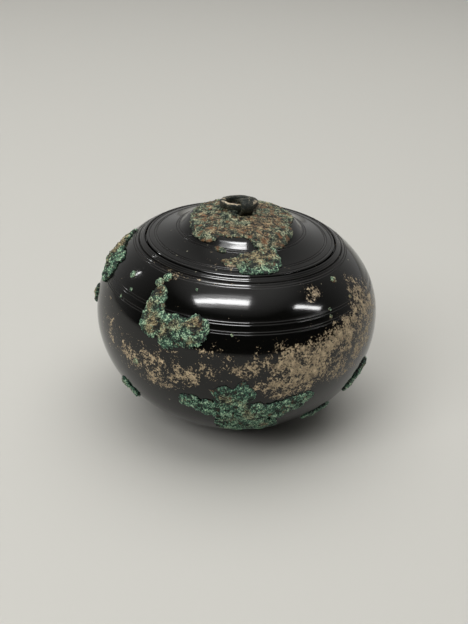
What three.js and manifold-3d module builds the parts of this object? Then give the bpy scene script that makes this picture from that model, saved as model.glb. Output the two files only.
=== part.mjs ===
// A squat round bowl of turned bronze with a flush drop-in lid, a strap loop and a swinging ring,
// and the raised lumps of green corrosion that have grown on it.
// Millimetres, +Z up, the origin at the centre of the flat base.
// Azimuths are in degrees: 0 looks towards -Y and 90 towards +X.

import * as THREE from 'three';
import { mergeVertices } from 'three/addons/utils/BufferGeometryUtils.js';
import Module from 'manifold-3d';

const wasm = await Module();
wasm.setup();

// Bowl
const BODY_RADIUS = 70;
const EQUATOR_HEIGHT = 53.5;
const BASE_RADIUS = 26;
const MOUTH_RADIUS = 46.3;
const RIM_HEIGHT = 92.9;
const SHOULDER_FULLNESS = 2.2; // exponent of the curve over the equator: 2 is an ellipse
const BELLY_FULLNESS = 2; // the same below the equator
const BOWL_WALL = 3;
const FLOOR_THICKNESS = 3;
const SEAT_DEPTH = 3.1; // from the rim down to the ledge that carries the lid
const SEAT_WIDTH = 3.3;
const SEAT_THICKNESS = 2.6;
const SEAT_UNDERCUT = 1.5; // how far the ledge's underside falls on its way out to the wall
const RIM_GROOVES = [1.5, 3.5, 5, 6.5]; // turned lines, measured down the shoulder from the mouth
const SHOULDER_GROOVES = [22.3, 23.5, 24.7, 26.2, 27.4, 28.6];

// Lid
const LID_GAP = 0.6; // round the lid's edge
const LID_DROP = 0.3; // the lid's edge below the rim
const LID_WALL = 2.2;
const SEAT_GAP = 0.3; // between pieces that rest on each other
const CONE_RISE = 5.4; // from the lid's edge to the foot of the boss
const CONE_HOLLOW = 0.6; // how far the cone's middle sags below a straight line
const BOSS_RADIUS = 29.4;
const BOSS_HEIGHT = 4.1; // from the foot of the boss to its shoulder
const BOSS_FLANK = 5; // how far the flank leans in between foot and shoulder
const DOME_RISE = 1.4; // from the shoulder of the boss to its middle
const COLLAR_DEPTH = 5; // below the bowl's ledge
const COLLAR_WALL = 1.9;
const COLLAR_GAP = 0.6;
const EDGE_GROOVES = [1.3, 3.9, 5]; // turned lines, measured in from the lid's edge
const BOSS_GROOVES = [0.9, 2.2]; // turned lines, measured out from the foot of the boss

const GROOVE_WIDTH = 0.9;
const GROOVE_DEPTH = 0.4;

// Strap loop and ring
const LOOP_OFFSET = 1.3; // along +X from the bowl's axis
const LOOP_TURN = 22; // degrees about +Z
const STRAP_WIDTH = 6;
const STRAP_THICKNESS = 1.8;
const EYE_RADIUS = 2.3;
const LEG_REACH = 9;
const LEG_THICKNESS = 1.5;
const SLOT_GAP = 0.3;
const RING_RADIUS = 8.05; // to the middle of the wire
const RING_WIRE = 1.35; // radius of the wire
const RING_SAG = 0.3; // the wire's middle below the middle of the eye

// Corrosion lumps
const CRUST_GAP = 0.3; // under each lump
const CRUST_ROOT = 3; // how deep the middle of a lump's round lobe lies under the surface
const BOSS_CRUST_HEIGHT = 1;
const BOSS_CRUST_LOBES = 6;
const LID_PROBE = 0.5; // half the width over which the lid's slope is read
const BOSS_CRUST_MARGIN = 1.2; // bare bronze between the crust of the boss and its shoulder or the loop

const TURN_SEGMENTS = 48;
const PROFILE_STEP = 6;
const CURVE_SAMPLES = 24;
const WELD = 1e-4;

const FINISHES = {
  bronze: { color: 0x17171a, roughness: 0.22, metalness: 0.6 },
  wornBronze: { color: 0x2c2d28, roughness: 0.5, metalness: 0.5 },
  crust: { color: 0x4a7560, roughness: 0.95, metalness: 0 },
};

// Closed meshes and solids

function toSolid(geometry) {
  const bare = geometry.clone();
  bare.deleteAttribute('normal');
  bare.deleteAttribute('uv');
  const welded = mergeVertices(bare, WELD);
  const index = welded.index.array;
  const corners = [];
  for (let i = 0; i < index.length; i += 3) {
    const [a, b, c] = index.slice(i, i + 3);
    if (a !== b && b !== c && c !== a) corners.push(a, b, c);
  }
  return new wasm.Manifold(new wasm.Mesh({
    numProp: 3,
    vertProperties: Float32Array.from(welded.attributes.position.array),
    triVerts: Uint32Array.from(corners),
  }));
}

function toGeometry(solid) {
  const mesh = solid.getMesh();
  const geometry = new THREE.BufferGeometry();
  geometry.setAttribute('position', new THREE.BufferAttribute(mesh.vertProperties, 3));
  geometry.setIndex(new THREE.BufferAttribute(mesh.triVerts, 1));
  geometry.computeVertexNormals();
  return geometry;
}

// A profile of [radius, height] points turned about the Z axis
function turned(profile) {
  const points = profile.map(([radius, height]) => new THREE.Vector2(radius, height));
  return toSolid(new THREE.LatheGeometry(points, TURN_SEGMENTS).rotateX(Math.PI / 2));
}

function piece(name, geometry, finish) {
  const mesh = new THREE.Mesh(geometry, new THREE.MeshStandardMaterial(FINISHES[finish]));
  mesh.name = name;
  return mesh;
}

// The body's curve: a superellipse over the equator and another below it

function fullReach(radius, height, fullness) {
  return height / (1 - (radius / BODY_RADIUS) ** fullness) ** (1 / fullness);
}

const SHOULDER_REACH = fullReach(MOUTH_RADIUS, RIM_HEIGHT - EQUATOR_HEIGHT, SHOULDER_FULLNESS);
const BELLY_REACH = fullReach(BASE_RADIUS, EQUATOR_HEIGHT, BELLY_FULLNESS);

// The curve moved out by offset: latitude runs from -90 at the bottom to 90 at the top
function bodyPoint(latitude, offset = 0) {
  const angle = THREE.MathUtils.degToRad(Math.abs(latitude));
  const fullness = latitude > 0 ? SHOULDER_FULLNESS : BELLY_FULLNESS;
  const reach = (latitude > 0 ? SHOULDER_REACH : BELLY_REACH) + offset;
  const rise = reach * Math.sin(angle) ** (2 / fullness);
  const radius = (BODY_RADIUS + offset) * Math.cos(angle) ** (2 / fullness);
  return [radius, EQUATOR_HEIGHT + Math.sign(latitude) * rise];
}

// The latitude at which that curve passes a height
function bodyLatitude(height, offset = 0) {
  const rise = height - EQUATOR_HEIGHT;
  const fullness = rise > 0 ? SHOULDER_FULLNESS : BELLY_FULLNESS;
  const reach = (rise > 0 ? SHOULDER_REACH : BELLY_REACH) + offset;
  const share = Math.min(1, Math.abs(rise) / reach) ** (fullness / 2);
  return Math.sign(rise) * THREE.MathUtils.radToDeg(Math.asin(share));
}

// The length of one degree of latitude on the bowl's outside
function bodySpan(latitude) {
  const [lowRadius, lowHeight] = bodyPoint(latitude - 0.5);
  const [highRadius, highHeight] = bodyPoint(latitude + 0.5);
  return Math.hypot(highRadius - lowRadius, highHeight - lowHeight);
}

// Points between two latitudes, both included
function bodyArc(from, to, count, offset = 0) {
  const points = [];
  for (let i = 0; i <= count; i += 1) points.push(bodyPoint(from + ((to - from) * i) / count, offset));
  return points;
}

function asCurve(points) {
  return new THREE.SplineCurve(points.map(([radius, height]) => new THREE.Vector2(radius, height)));
}

// Points along a curve that starts at its top, with a V-groove at each given distance from the start
function groovedProfile(curve, grooves) {
  const length = curve.getLength();
  const half = GROOVE_WIDTH / 2;
  const stops = grooves.flatMap((at) => [[at - half, 0], [at, GROOVE_DEPTH], [at + half, 0]]);
  const count = Math.round(length / PROFILE_STEP);
  for (let i = 0; i <= count; i += 1) {
    const at = (length * i) / count;
    if (grooves.every((groove) => Math.abs(groove - at) > GROOVE_WIDTH)) stops.push([at, 0]);
  }
  stops.sort((a, b) => a[0] - b[0]);
  return stops.map(([at, depth]) => {
    const share = Math.min(1, at / length);
    const point = curve.getPointAt(share);
    const tangent = curve.getTangentAt(share);
    return [point.x + tangent.y * depth, point.y - tangent.x * depth];
  });
}

// Bowl: belly, grooved shoulder, a stepped mouth that seats the lid, and the hollow inside

const SEAT_HEIGHT = RIM_HEIGHT - SEAT_DEPTH;
const SEAT_RADIUS = MOUTH_RADIUS - SEAT_WIDTH;
const MOUTH_LATITUDE = bodyLatitude(RIM_HEIGHT);
const BASE_LATITUDE = bodyLatitude(0);

function bowlSolid() {
  const shoulder = asCurve(bodyArc(MOUTH_LATITUDE, 0, CURVE_SAMPLES));
  const outside = groovedProfile(shoulder, [...RIM_GROOVES, ...SHOULDER_GROOVES]).reverse();
  const belly = bodyArc(BASE_LATITUDE, 0, 9);
  const ledgeBottom = SEAT_HEIGHT - SEAT_THICKNESS;
  const inside = [
    ...bodyArc(bodyLatitude(ledgeBottom - SEAT_UNDERCUT, -BOWL_WALL), 0, 5, -BOWL_WALL),
    ...bodyArc(0, bodyLatitude(FLOOR_THICKNESS, -BOWL_WALL), 8, -BOWL_WALL).slice(1),
  ];
  return turned([
    [0, 0],
    ...belly,
    ...outside.slice(1),
    [MOUTH_RADIUS, SEAT_HEIGHT],
    [SEAT_RADIUS, SEAT_HEIGHT],
    [SEAT_RADIUS, ledgeBottom],
    ...inside,
    [0, FLOOR_THICKNESS],
  ]);
}

// Lid: a shallow cone with a domed boss, and a collar that drops inside the bowl's ledge

const LID_RADIUS = MOUTH_RADIUS - LID_GAP;
const LID_EDGE_HEIGHT = RIM_HEIGHT - LID_DROP;
const BOSS_FOOT_HEIGHT = LID_EDGE_HEIGHT + CONE_RISE;
const BOSS_SHOULDER_RADIUS = BOSS_RADIUS - BOSS_FLANK;
const BOSS_SHOULDER_HEIGHT = BOSS_FOOT_HEIGHT + BOSS_HEIGHT;
const BOSS_TOP_HEIGHT = BOSS_SHOULDER_HEIGHT + DOME_RISE;
const BOSS_UNDERSIDE = BOSS_SHOULDER_HEIGHT - LID_WALL;

function domeHeight(radius) {
  return BOSS_TOP_HEIGHT - DOME_RISE * (radius / BOSS_SHOULDER_RADIUS) ** 2;
}

// The cone from the foot of the boss to the lid's edge
function lidCone() {
  const middle = new THREE.Vector2(
    (LID_RADIUS + BOSS_RADIUS) / 2,
    (LID_EDGE_HEIGHT + BOSS_FOOT_HEIGHT) / 2 - 2 * CONE_HOLLOW,
  );
  return new THREE.QuadraticBezierCurve(
    new THREE.Vector2(BOSS_RADIUS, BOSS_FOOT_HEIGHT),
    middle,
    new THREE.Vector2(LID_RADIUS, LID_EDGE_HEIGHT),
  );
}

// The boss from its foot to the axis
function bossProfile() {
  const flankMiddle = [BOSS_RADIUS - BOSS_FLANK * 0.42, BOSS_FOOT_HEIGHT + BOSS_HEIGHT * 0.45];
  const shoulder = [BOSS_SHOULDER_RADIUS + BOSS_FLANK * 0.12, BOSS_SHOULDER_HEIGHT - BOSS_HEIGHT * 0.12];
  const dome = [0.9, 0.6, 0.3].map((share) => {
    const radius = share * BOSS_SHOULDER_RADIUS;
    return [radius, domeHeight(radius)];
  });
  return [[BOSS_RADIUS, BOSS_FOOT_HEIGHT], flankMiddle, shoulder, ...dome, [0, BOSS_TOP_HEIGHT]];
}

// The lid's upper face without its grooves, from the edge to the axis
const LID_FACE = [
  ...lidCone().getPoints(4).reverse().map((point) => [point.x, point.y]),
  ...bossProfile().slice(1),
];

function faceHeight(radius) {
  const next = LID_FACE.findIndex(([stop]) => stop <= radius);
  const [outerRadius, outerHeight] = LID_FACE[Math.max(0, next - 1)];
  const [innerRadius, innerHeight] = LID_FACE[next];
  const share = outerRadius === innerRadius ? 0 : (outerRadius - radius) / (outerRadius - innerRadius);
  return outerHeight + (innerHeight - outerHeight) * share;
}

function slotSolid() {
  const slot = new THREE.BoxGeometry(
    STRAP_WIDTH + 2 * SLOT_GAP,
    2 * (STRAP_THICKNESS + SLOT_GAP),
    4 * LID_WALL,
  );
  slot.rotateZ(THREE.MathUtils.degToRad(LOOP_TURN));
  return toSolid(slot.translate(LOOP_OFFSET, 0, BOSS_TOP_HEIGHT - LID_WALL));
}

function lidSolid() {
  const cone = lidCone();
  const coneLength = cone.getLength();
  const edgeLines = EDGE_GROOVES.map((inset) => coneLength - inset);
  const coneFace = groovedProfile(cone, [...BOSS_GROOVES, ...edgeLines]).reverse();
  const face = [...coneFace, ...bossProfile().slice(1)];
  const collarRadius = SEAT_RADIUS - COLLAR_GAP;
  const collarBore = collarRadius - COLLAR_WALL;
  const collarBottom = SEAT_HEIGHT - COLLAR_DEPTH;
  const edgeBottom = SEAT_HEIGHT + SEAT_GAP;
  return turned([
    [0, BOSS_UNDERSIDE],
    [BOSS_SHOULDER_RADIUS - LID_WALL, BOSS_UNDERSIDE],
    [BOSS_RADIUS - LID_WALL, BOSS_FOOT_HEIGHT - LID_WALL],
    [collarBore, faceHeight(collarBore) - LID_WALL],
    [collarBore, collarBottom],
    [collarRadius, collarBottom],
    [collarRadius, edgeBottom],
    [LID_RADIUS, edgeBottom],
    ...face,
  ]).subtract(slotSolid());
}

// Strap loop: a strap bent into an eye, its two legs through the lid and spread flat under it

const EYE_OUTER_RADIUS = EYE_RADIUS + STRAP_THICKNESS;
const EYE_HEIGHT = BOSS_TOP_HEIGHT + SEAT_GAP + EYE_OUTER_RADIUS;

// The outline stands in the plane across the strap, with the middle of the eye at its origin
function loopGeometry() {
  const legTop = BOSS_UNDERSIDE - SEAT_GAP - EYE_HEIGHT;
  const legBottom = legTop - LEG_THICKNESS;
  const shank = STRAP_THICKNESS;
  const neck = Math.asin(shank / EYE_OUTER_RADIUS);
  const outline = new THREE.Shape();
  outline.moveTo(-LEG_REACH, legBottom);
  outline.lineTo(LEG_REACH, legBottom);
  outline.lineTo(LEG_REACH, legTop);
  outline.lineTo(shank, legTop);
  outline.absarc(0, 0, EYE_OUTER_RADIUS, neck - Math.PI / 2, 1.5 * Math.PI - neck, false);
  outline.lineTo(-shank, legTop);
  outline.lineTo(-LEG_REACH, legTop);
  outline.closePath();
  outline.holes.push(new THREE.Path().absarc(0, 0, EYE_RADIUS, 0, 2 * Math.PI, true));
  const strap = new THREE.ExtrudeGeometry(outline, {
    depth: STRAP_WIDTH,
    bevelEnabled: false,
    curveSegments: 20,
  });
  strap.translate(0, 0, -STRAP_WIDTH / 2);
  const [x, y, z] = [[1, 0, 0], [0, 1, 0], [0, 0, 1]].map((axis) => new THREE.Vector3(...axis));
  return toGeometry(toSolid(strap.applyMatrix4(new THREE.Matrix4().makeBasis(y, z, x))));
}

// The ring leans back from the eye until its far side lies on the crust of the boss
function ringTilt() {
  const far = 2 * RING_RADIUS;
  const rest = domeHeight(far - LOOP_OFFSET) + BOSS_CRUST_HEIGHT + 2 * CRUST_GAP + RING_WIRE;
  return Math.asin((EYE_HEIGHT - RING_SAG - rest) / far);
}

// Loop and ring share a frame whose origin is the middle of the eye and whose X axis runs through it
function loopAndRing() {
  const eye = new THREE.Group();
  eye.position.set(LOOP_OFFSET, 0, EYE_HEIGHT);
  eye.rotation.z = THREE.MathUtils.degToRad(LOOP_TURN);
  eye.add(piece('ring_loop', loopGeometry(), 'wornBronze'));
  const swing = new THREE.Group();
  swing.position.z = -RING_SAG;
  swing.rotation.x = -ringTilt();
  const torus = new THREE.TorusGeometry(RING_RADIUS, RING_WIRE, 10, 36);
  const ring = piece('pull_ring', toGeometry(toSolid(torus)), 'wornBronze');
  ring.position.y = RING_RADIUS;
  swing.add(ring);
  eye.add(swing);
  return eye;
}

// Corrosion: each lump is a union of round lobes, cut off a little above the surface that it grows on

function surfacePlace(azimuth, radius, height, normalOut, normalUp) {
  const angle = THREE.MathUtils.degToRad(azimuth);
  const out = new THREE.Vector3(Math.sin(angle), -Math.cos(angle), 0);
  const up = new THREE.Vector3(0, 0, 1);
  return {
    point: out.clone().multiplyScalar(radius).addScaledVector(up, height),
    across: new THREE.Vector3(Math.cos(angle), Math.sin(angle), 0),
    along: out.clone().multiplyScalar(-normalUp).addScaledVector(up, normalOut),
    normal: out.clone().multiplyScalar(normalOut).addScaledVector(up, normalUp),
  };
}

// A place on the bowl, so many millimetres across and up the surface from an azimuth and a latitude
function onBowl(azimuth, latitude, across, up) {
  const placed = latitude + up / bodySpan(latitude);
  const [radius, height] = bodyPoint(placed);
  const [lowRadius, lowHeight] = bodyPoint(placed - 0.5);
  const [highRadius, highHeight] = bodyPoint(placed + 0.5);
  const run = Math.hypot(highRadius - lowRadius, highHeight - lowHeight);
  const normalOut = (highHeight - lowHeight) / run;
  const normalUp = (lowRadius - highRadius) / run;
  const turn = THREE.MathUtils.radToDeg(across / radius);
  return surfacePlace(azimuth + turn, radius, height, normalOut, normalUp);
}

// A place on the lid, so many millimetres across from an azimuth, at a radius
function onLid(azimuth, across, radius) {
  const inner = radius - LID_PROBE;
  const outer = radius + LID_PROBE;
  const fall = faceHeight(inner) - faceHeight(outer);
  const run = Math.hypot(outer - inner, fall);
  const turn = THREE.MathUtils.radToDeg(across / radius);
  return surfacePlace(azimuth + turn, radius, faceHeight(radius), fall / run, (outer - inner) / run);
}

function lobeSolid(place, halfWidth, halfLength, height) {
  const depth = CRUST_ROOT + height;
  const spread = Math.sqrt(1 - (CRUST_ROOT / depth) ** 2);
  const lobe = new THREE.SphereGeometry(1, 10, 7);
  lobe.scale(halfWidth / spread, halfLength / spread, depth);
  const middle = place.point.clone().addScaledVector(place.normal, CRUST_GAP - CRUST_ROOT);
  const turn = new THREE.Matrix4().makeBasis(place.across, place.along, place.normal);
  return toSolid(lobe.applyMatrix4(turn.setPosition(middle)));
}

function joined(solids) {
  return solids.reduce((all, next) => all.add(next));
}

// Each lump has the azimuth and latitude of its middle, and lobes in millimetres from there:
// [across, up, half width, half length, height]
const BOWL_CRUSTS = {
  crust_front_left: {
    azimuth: -26,
    latitude: 22,
    lobes: [
      [-9.2, -1.8, 7, 7, 1.6],
      [1.2, -3.2, 8, 7.5, 1.8],
      [11.5, -1.4, 7, 7.5, 1.7],
      [-9.9, 4.5, 4.5, 5, 1.4],
      [-10.4, 9.9, 4.5, 4.5, 1.3],
    ],
  },
  crust_front_low: {
    azimuth: 5,
    latitude: -20,
    lobes: [
      [-25, 4.4, 5.5, 4, 1.1],
      [-17, 1.5, 6.5, 5.5, 1.3],
      [-6.8, -1, 8, 7, 1.6],
      [4.6, -1, 8, 7, 1.6],
      [14.9, 0, 7.5, 6.5, 1.4],
      [23.5, 4, 6.5, 4.5, 1.2],
      [-1.2, 11, 5.5, 7.5, 1.4],
      [-10, 10.5, 5, 6, 1.2],
      [-6, 6.5, 5.5, 5.5, 1.3],
      [-3.1, -12.8, 9, 8, 1.3],
      [8.2, -12.8, 8, 7.5, 1.3],
    ],
  },
  crust_left_shoulder: {
    azimuth: -85,
    latitude: 31,
    lobes: [
      [8.5, -4, 6, 6, 2.2],
      [2.1, -0.4, 7, 6.5, 2.9],
      [-5, 3.8, 5, 4.5, 2.1],
      [-9.8, 7.2, 4.2, 4.2, 1.5],
    ],
  },
  crust_left_spot: {
    azimuth: -85,
    latitude: 6,
    lobes: [[0, 0, 2.5, 5, 1.6]],
  },
  crust_left_low: {
    azimuth: -52.5,
    latitude: -28,
    lobes: [
      [-1.6, 2.1, 3.5, 4.2, 1.4],
      [1.6, -2.1, 3.5, 4.2, 1.4],
    ],
  },
  crust_right_low: {
    azimuth: 65,
    latitude: -19,
    lobes: [
      [2.3, 5, 3.5, 4.5, 1.5],
      [1.2, 0, 4, 5, 1.8],
      [-2, -5.6, 4, 5, 1.5],
    ],
  },
  crust_right_under: {
    azimuth: 46.5,
    latitude: -36,
    lobes: [
      [-3.4, -1.1, 5, 3.5, 1.2],
      [3.4, 1.1, 5, 3.5, 1.2],
    ],
  },
};

// Near the lid's edge: [across, distance in from the edge, half width, half length, height]
const LID_EDGE_CRUST = {
  azimuth: 14,
  lobes: [
    [-5.2, 5.4, 4.5, 3.8, 1.3],
    [0, 6.2, 5, 4.8, 1.6],
    [4, 7.4, 4.5, 4.2, 1.3],
  ],
};

// On the flank of the boss: [across, distance out from its shoulder, half width, half length, height]
const BOSS_FLANK_CRUST = {
  azimuth: 22,
  lobes: [
    [-25, 0.5, 6, 3.5, 1.2],
    [0, 2.5, 6.5, 4, 1.2],
    [7.5, 2.5, 6, 4, 1.1],
  ],
};

function bowlCrusts() {
  const core = turned([[0, 0], ...bodyArc(BASE_LATITUDE, 90, CURVE_SAMPLES, CRUST_GAP)]);
  return Object.entries(BOWL_CRUSTS).map(([name, { azimuth, latitude, lobes }]) => {
    const grown = lobes.map(([across, up, ...size]) => (
      lobeSolid(onBowl(azimuth, latitude, across, up), ...size)
    ));
    return piece(name, toGeometry(joined(grown).subtract(core)), 'crust');
  });
}

// A ring of lobes round the loop, and those that have run down the flank
function bossLobes() {
  const lobes = [];
  const radius = (BOSS_SHOULDER_RADIUS + EYE_OUTER_RADIUS) / 2;
  const half = (BOSS_SHOULDER_RADIUS - EYE_OUTER_RADIUS) / 2 - BOSS_CRUST_MARGIN;
  for (let i = 0; i < BOSS_CRUST_LOBES; i += 1) {
    const azimuth = (360 * i) / BOSS_CRUST_LOBES;
    lobes.push(lobeSolid(onLid(azimuth, 0, radius), half, half, BOSS_CRUST_HEIGHT));
  }
  for (const [across, out, ...size] of BOSS_FLANK_CRUST.lobes) {
    const place = onLid(BOSS_FLANK_CRUST.azimuth, across, BOSS_SHOULDER_RADIUS + out);
    lobes.push(lobeSolid(place, ...size));
  }
  return lobes;
}

function lidCrusts() {
  const raised = LID_FACE.map(([radius, height]) => [radius, height + CRUST_GAP]);
  const core = turned([[0, 0], [LID_RADIUS, 0], ...raised]);
  const loopReach = Math.hypot(STRAP_WIDTH / 2, EYE_OUTER_RADIUS) + CRUST_GAP;
  const clearance = new THREE.CylinderGeometry(loopReach, loopReach, 4 * EYE_OUTER_RADIUS, CURVE_SAMPLES);
  clearance.rotateX(Math.PI / 2);
  clearance.translate(LOOP_OFFSET, 0, BOSS_TOP_HEIGHT);
  const boss = joined(bossLobes()).subtract(core).subtract(toSolid(clearance));
  const edge = LID_EDGE_CRUST.lobes.map(([across, inset, ...size]) => (
    lobeSolid(onLid(LID_EDGE_CRUST.azimuth, across, LID_RADIUS - inset), ...size)
  ));
  return [
    piece('crust_boss', toGeometry(boss), 'crust'),
    piece('crust_lid_edge', toGeometry(joined(edge).subtract(core)), 'crust'),
  ];
}

const lidded_bowl = new THREE.Group();
lidded_bowl.add(piece('bowl', toGeometry(bowlSolid()), 'bronze'));
lidded_bowl.add(piece('lid', toGeometry(lidSolid()), 'bronze'));
lidded_bowl.add(loopAndRing());
lidded_bowl.add(...bowlCrusts(), ...lidCrusts());

export default lidded_bowl;
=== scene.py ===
# %% [markdown]
# # A turned bronze bowl with a drop-in lid
# The real bowl was cast, then turned on a lathe: a squat round body, a lid that drops flush into its
# mouth, and a bent strap on top that carries a loose ring. Its skin is a polished black patina, worn to
# buff in places, with lumps of green and brown corrosion standing on it.
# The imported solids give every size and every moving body. Each of them is replaced here by a finer
# piece that rides on the same body. The object's lengths are in millimetres until a mesh is made; the
# floor, the backdrop and the lamps are in metres.

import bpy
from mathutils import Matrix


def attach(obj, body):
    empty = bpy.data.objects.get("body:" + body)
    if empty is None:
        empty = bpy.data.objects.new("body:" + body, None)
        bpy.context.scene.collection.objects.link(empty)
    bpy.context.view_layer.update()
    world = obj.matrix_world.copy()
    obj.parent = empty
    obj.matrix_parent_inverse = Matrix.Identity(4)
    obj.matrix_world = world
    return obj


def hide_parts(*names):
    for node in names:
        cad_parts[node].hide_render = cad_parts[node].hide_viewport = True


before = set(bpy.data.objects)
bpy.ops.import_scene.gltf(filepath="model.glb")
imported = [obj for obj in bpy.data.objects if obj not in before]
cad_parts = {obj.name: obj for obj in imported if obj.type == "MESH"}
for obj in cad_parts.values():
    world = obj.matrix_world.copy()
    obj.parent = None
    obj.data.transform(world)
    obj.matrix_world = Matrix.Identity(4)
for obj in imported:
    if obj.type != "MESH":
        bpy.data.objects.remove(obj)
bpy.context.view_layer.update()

# %% Working tools
import math

import bpy
import numpy as np
from mathutils import Matrix, Vector, noise

MM = 0.001
scene = bpy.context.scene
scene.view_settings.view_transform = "Standard"
print("Blender", bpy.app.version_string)

# %% [markdown]
# ## Camera
# The photograph was taken from a little above, with the camera tipped about three degrees to one side.
# A camera's matrix is three axes and a place: right, up and backwards. Writing the axes out keeps the
# tip exact, where a look-at constraint would level the horizon.

# %% Set the camera
CAMERA_PLACE = Vector((-1.14, -423.8, 272.5)) * MM
LOOK_DOWN = math.radians(27.66)
TIP = math.radians(3.23)
LENS = 54.23
SENSOR_WIDTH = 36

level_right = Vector((1, 0, 0))
level_up = Vector((0, math.sin(LOOK_DOWN), math.cos(LOOK_DOWN)))
right = level_right * math.cos(TIP) + level_up * math.sin(TIP)
up = level_up * math.cos(TIP) - level_right * math.sin(TIP)
back = right.cross(up)

camera_data = bpy.data.cameras.new("camera")
camera_data.lens = LENS
camera_data.sensor_width = SENSOR_WIDTH
camera = bpy.data.objects.new("camera", camera_data)
scene.collection.objects.link(camera)
camera.matrix_world = Matrix.Translation(CAMERA_PLACE) @ Matrix((right, up, back)).transposed().to_4x4()
scene.camera = camera
print("camera at", list(CAMERA_PLACE))

# %% [markdown]
# ## Floor and light
# A polished black bowl shows the room more than itself. Here it stands on a pale floor under a pale
# ceiling with lit panels, and the room on the viewer's side is dark. So the world is a plain change from
# dark in front to pale behind and above, and the panels are area lamps that show only in the gloss,
# where their reflections ask for them. One wide lamp overhead, a little behind the bowl, and a soft one
# in front light all matt surfaces. The backdrop, a wall that curves up out of the floor, is there for the
# camera alone: it closes off the floor's far edge and adds no reflection of its own. A whole modelled room
# would reflect as well, but could not be tuned one panel at a time.

# %% Lay the floor
FLOOR_CORNERS = [(-4, -4, 0), (4, -4, 0), (4, 6, 0), (-4, 6, 0)]
FLOOR_COLOUR = (0.6, 0.59, 0.55, 1)
FLOOR_ROUGHNESS = 0.9
FLOOR_GLOSS = 0.1

floor_mesh = bpy.data.meshes.new("floor")
floor_mesh.from_pydata(FLOOR_CORNERS, [], [(0, 1, 2, 3)])
floor = bpy.data.objects.new("floor", floor_mesh)
scene.collection.objects.link(floor)

floor_paint = bpy.data.materials.new("floor_paper")
floor_paint.use_nodes = True
floor_skin = floor_paint.node_tree.nodes["Principled BSDF"].inputs
floor_skin["Base Color"].default_value = FLOOR_COLOUR
floor_skin["Roughness"].default_value = FLOOR_ROUGHNESS
floor_skin["Specular IOR Level"].default_value = FLOOR_GLOSS
floor_mesh.materials.append(floor_paint)
print("floor laid")

# %% Stand the backdrop
BACKDROP_RADIUS = 3.6
BACKDROP_HEIGHT = 2
COVE_RADIUS = 0.6
SIDES = 96

cove = [math.radians(angle) for angle in range(0, 91, 10)]
wall_line = [
    (BACKDROP_RADIUS - COVE_RADIUS * (1 - math.sin(a)), COVE_RADIUS * (1 - math.cos(a))) for a in cove
]
wall_line.append((BACKDROP_RADIUS, BACKDROP_HEIGHT))
turns = [2 * math.pi * i / SIDES for i in range(SIDES)]
wall_points = [(r * math.cos(t), r * math.sin(t), z) for r, z in wall_line for t in turns]
wall_faces = [
    (k * SIDES + (i + 1) % SIDES, k * SIDES + i, (k + 1) * SIDES + i, (k + 1) * SIDES + (i + 1) % SIDES)
    for k in range(len(wall_line) - 1)
    for i in range(SIDES)
]
wall_mesh = bpy.data.meshes.new("backdrop")
wall_mesh.from_pydata(wall_points, [], wall_faces)
wall_mesh.shade_smooth()
wall_mesh.materials.append(floor_paint)
backdrop = bpy.data.objects.new("backdrop", wall_mesh)
backdrop.visible_glossy = backdrop.visible_diffuse = backdrop.visible_shadow = False
scene.collection.objects.link(backdrop)
print("backdrop", BACKDROP_RADIUS, "m away")

# %% Shade the room
ROOM_TINT = (1, 0.99, 0.96, 1)
ROOM_FRONT = 0.015
ROOM_BACK = 0.55
ROOM_ABOVE = 0.8
BACK_FADE = (-0.2, 1)
CEILING_FADE = (0.72, 0.95)

world = bpy.data.worlds.new("room")
scene.world = world
world.use_nodes = True
room = world.node_tree
direction = room.nodes.new("ShaderNodeTexCoord")
parts = room.nodes.new("ShaderNodeSeparateXYZ")
room.links.new(direction.outputs["Generated"], parts.inputs[0])
brightest = room.nodes.new("ShaderNodeMath")
brightest.operation = "MAXIMUM"
for socket, axis, (low, high), dark, pale in (
    (0, "Y", BACK_FADE, ROOM_FRONT, ROOM_BACK),
    (1, "Z", CEILING_FADE, 0, ROOM_ABOVE),
):
    fade = room.nodes.new("ShaderNodeMapRange")
    for name, value in (("From Min", low), ("From Max", high), ("To Min", dark), ("To Max", pale)):
        fade.inputs[name].default_value = value
    room.links.new(parts.outputs[axis], fade.inputs["Value"])
    room.links.new(fade.outputs[0], brightest.inputs[socket])
room.nodes["Background"].inputs["Color"].default_value = ROOM_TINT
room.links.new(brightest.outputs[0], room.nodes["Background"].inputs["Strength"])
print("room shaded")

# %% Hang the lamps
LEVEL = (0, 0, 0)
GLOSS_PANELS = [
    ("panel_front", (-0.23, -0.545, 1.16), (0.8, 0.12), 8, LEVEL),
    ("panel_glow", (-0.23, -0.55, 1.17), (0.82, 0.34), 3.6, LEVEL),
    ("panel_right", (1.4, -0.37, 1.16), (0.9, 0.12), 9, (0, 0, 14)),
    ("panel_left", (-2.1, 1.0, 1.16), (0.75, 0.03), 2.5, (0, 0, -25)),
]
MATT_LAMPS = [
    ("overhead", (0, 0.35, 1.5), (1.8, 1.8), 15, LEVEL),
    ("fill", (-0.8, -0.9, 1.1), (0.9, 0.9), 12, (47.6, 0, -41.6)),
]


def hang_lamp(name, place, size, power, turn, in_gloss):
    lamp = bpy.data.lights.new(name, "AREA")
    lamp.shape = "RECTANGLE"
    lamp.size, lamp.size_y = size
    lamp.energy = power
    panel = bpy.data.objects.new(name, lamp)
    panel.location = place
    panel.rotation_euler = [math.radians(angle) for angle in turn]
    panel.visible_camera = False
    panel.visible_glossy = in_gloss
    panel.visible_diffuse = not in_gloss
    scene.collection.objects.link(panel)


for lamp_row in GLOSS_PANELS:
    hang_lamp(*lamp_row, in_gloss=True)
for lamp_row in MATT_LAMPS:
    hang_lamp(*lamp_row, in_gloss=False)

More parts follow.
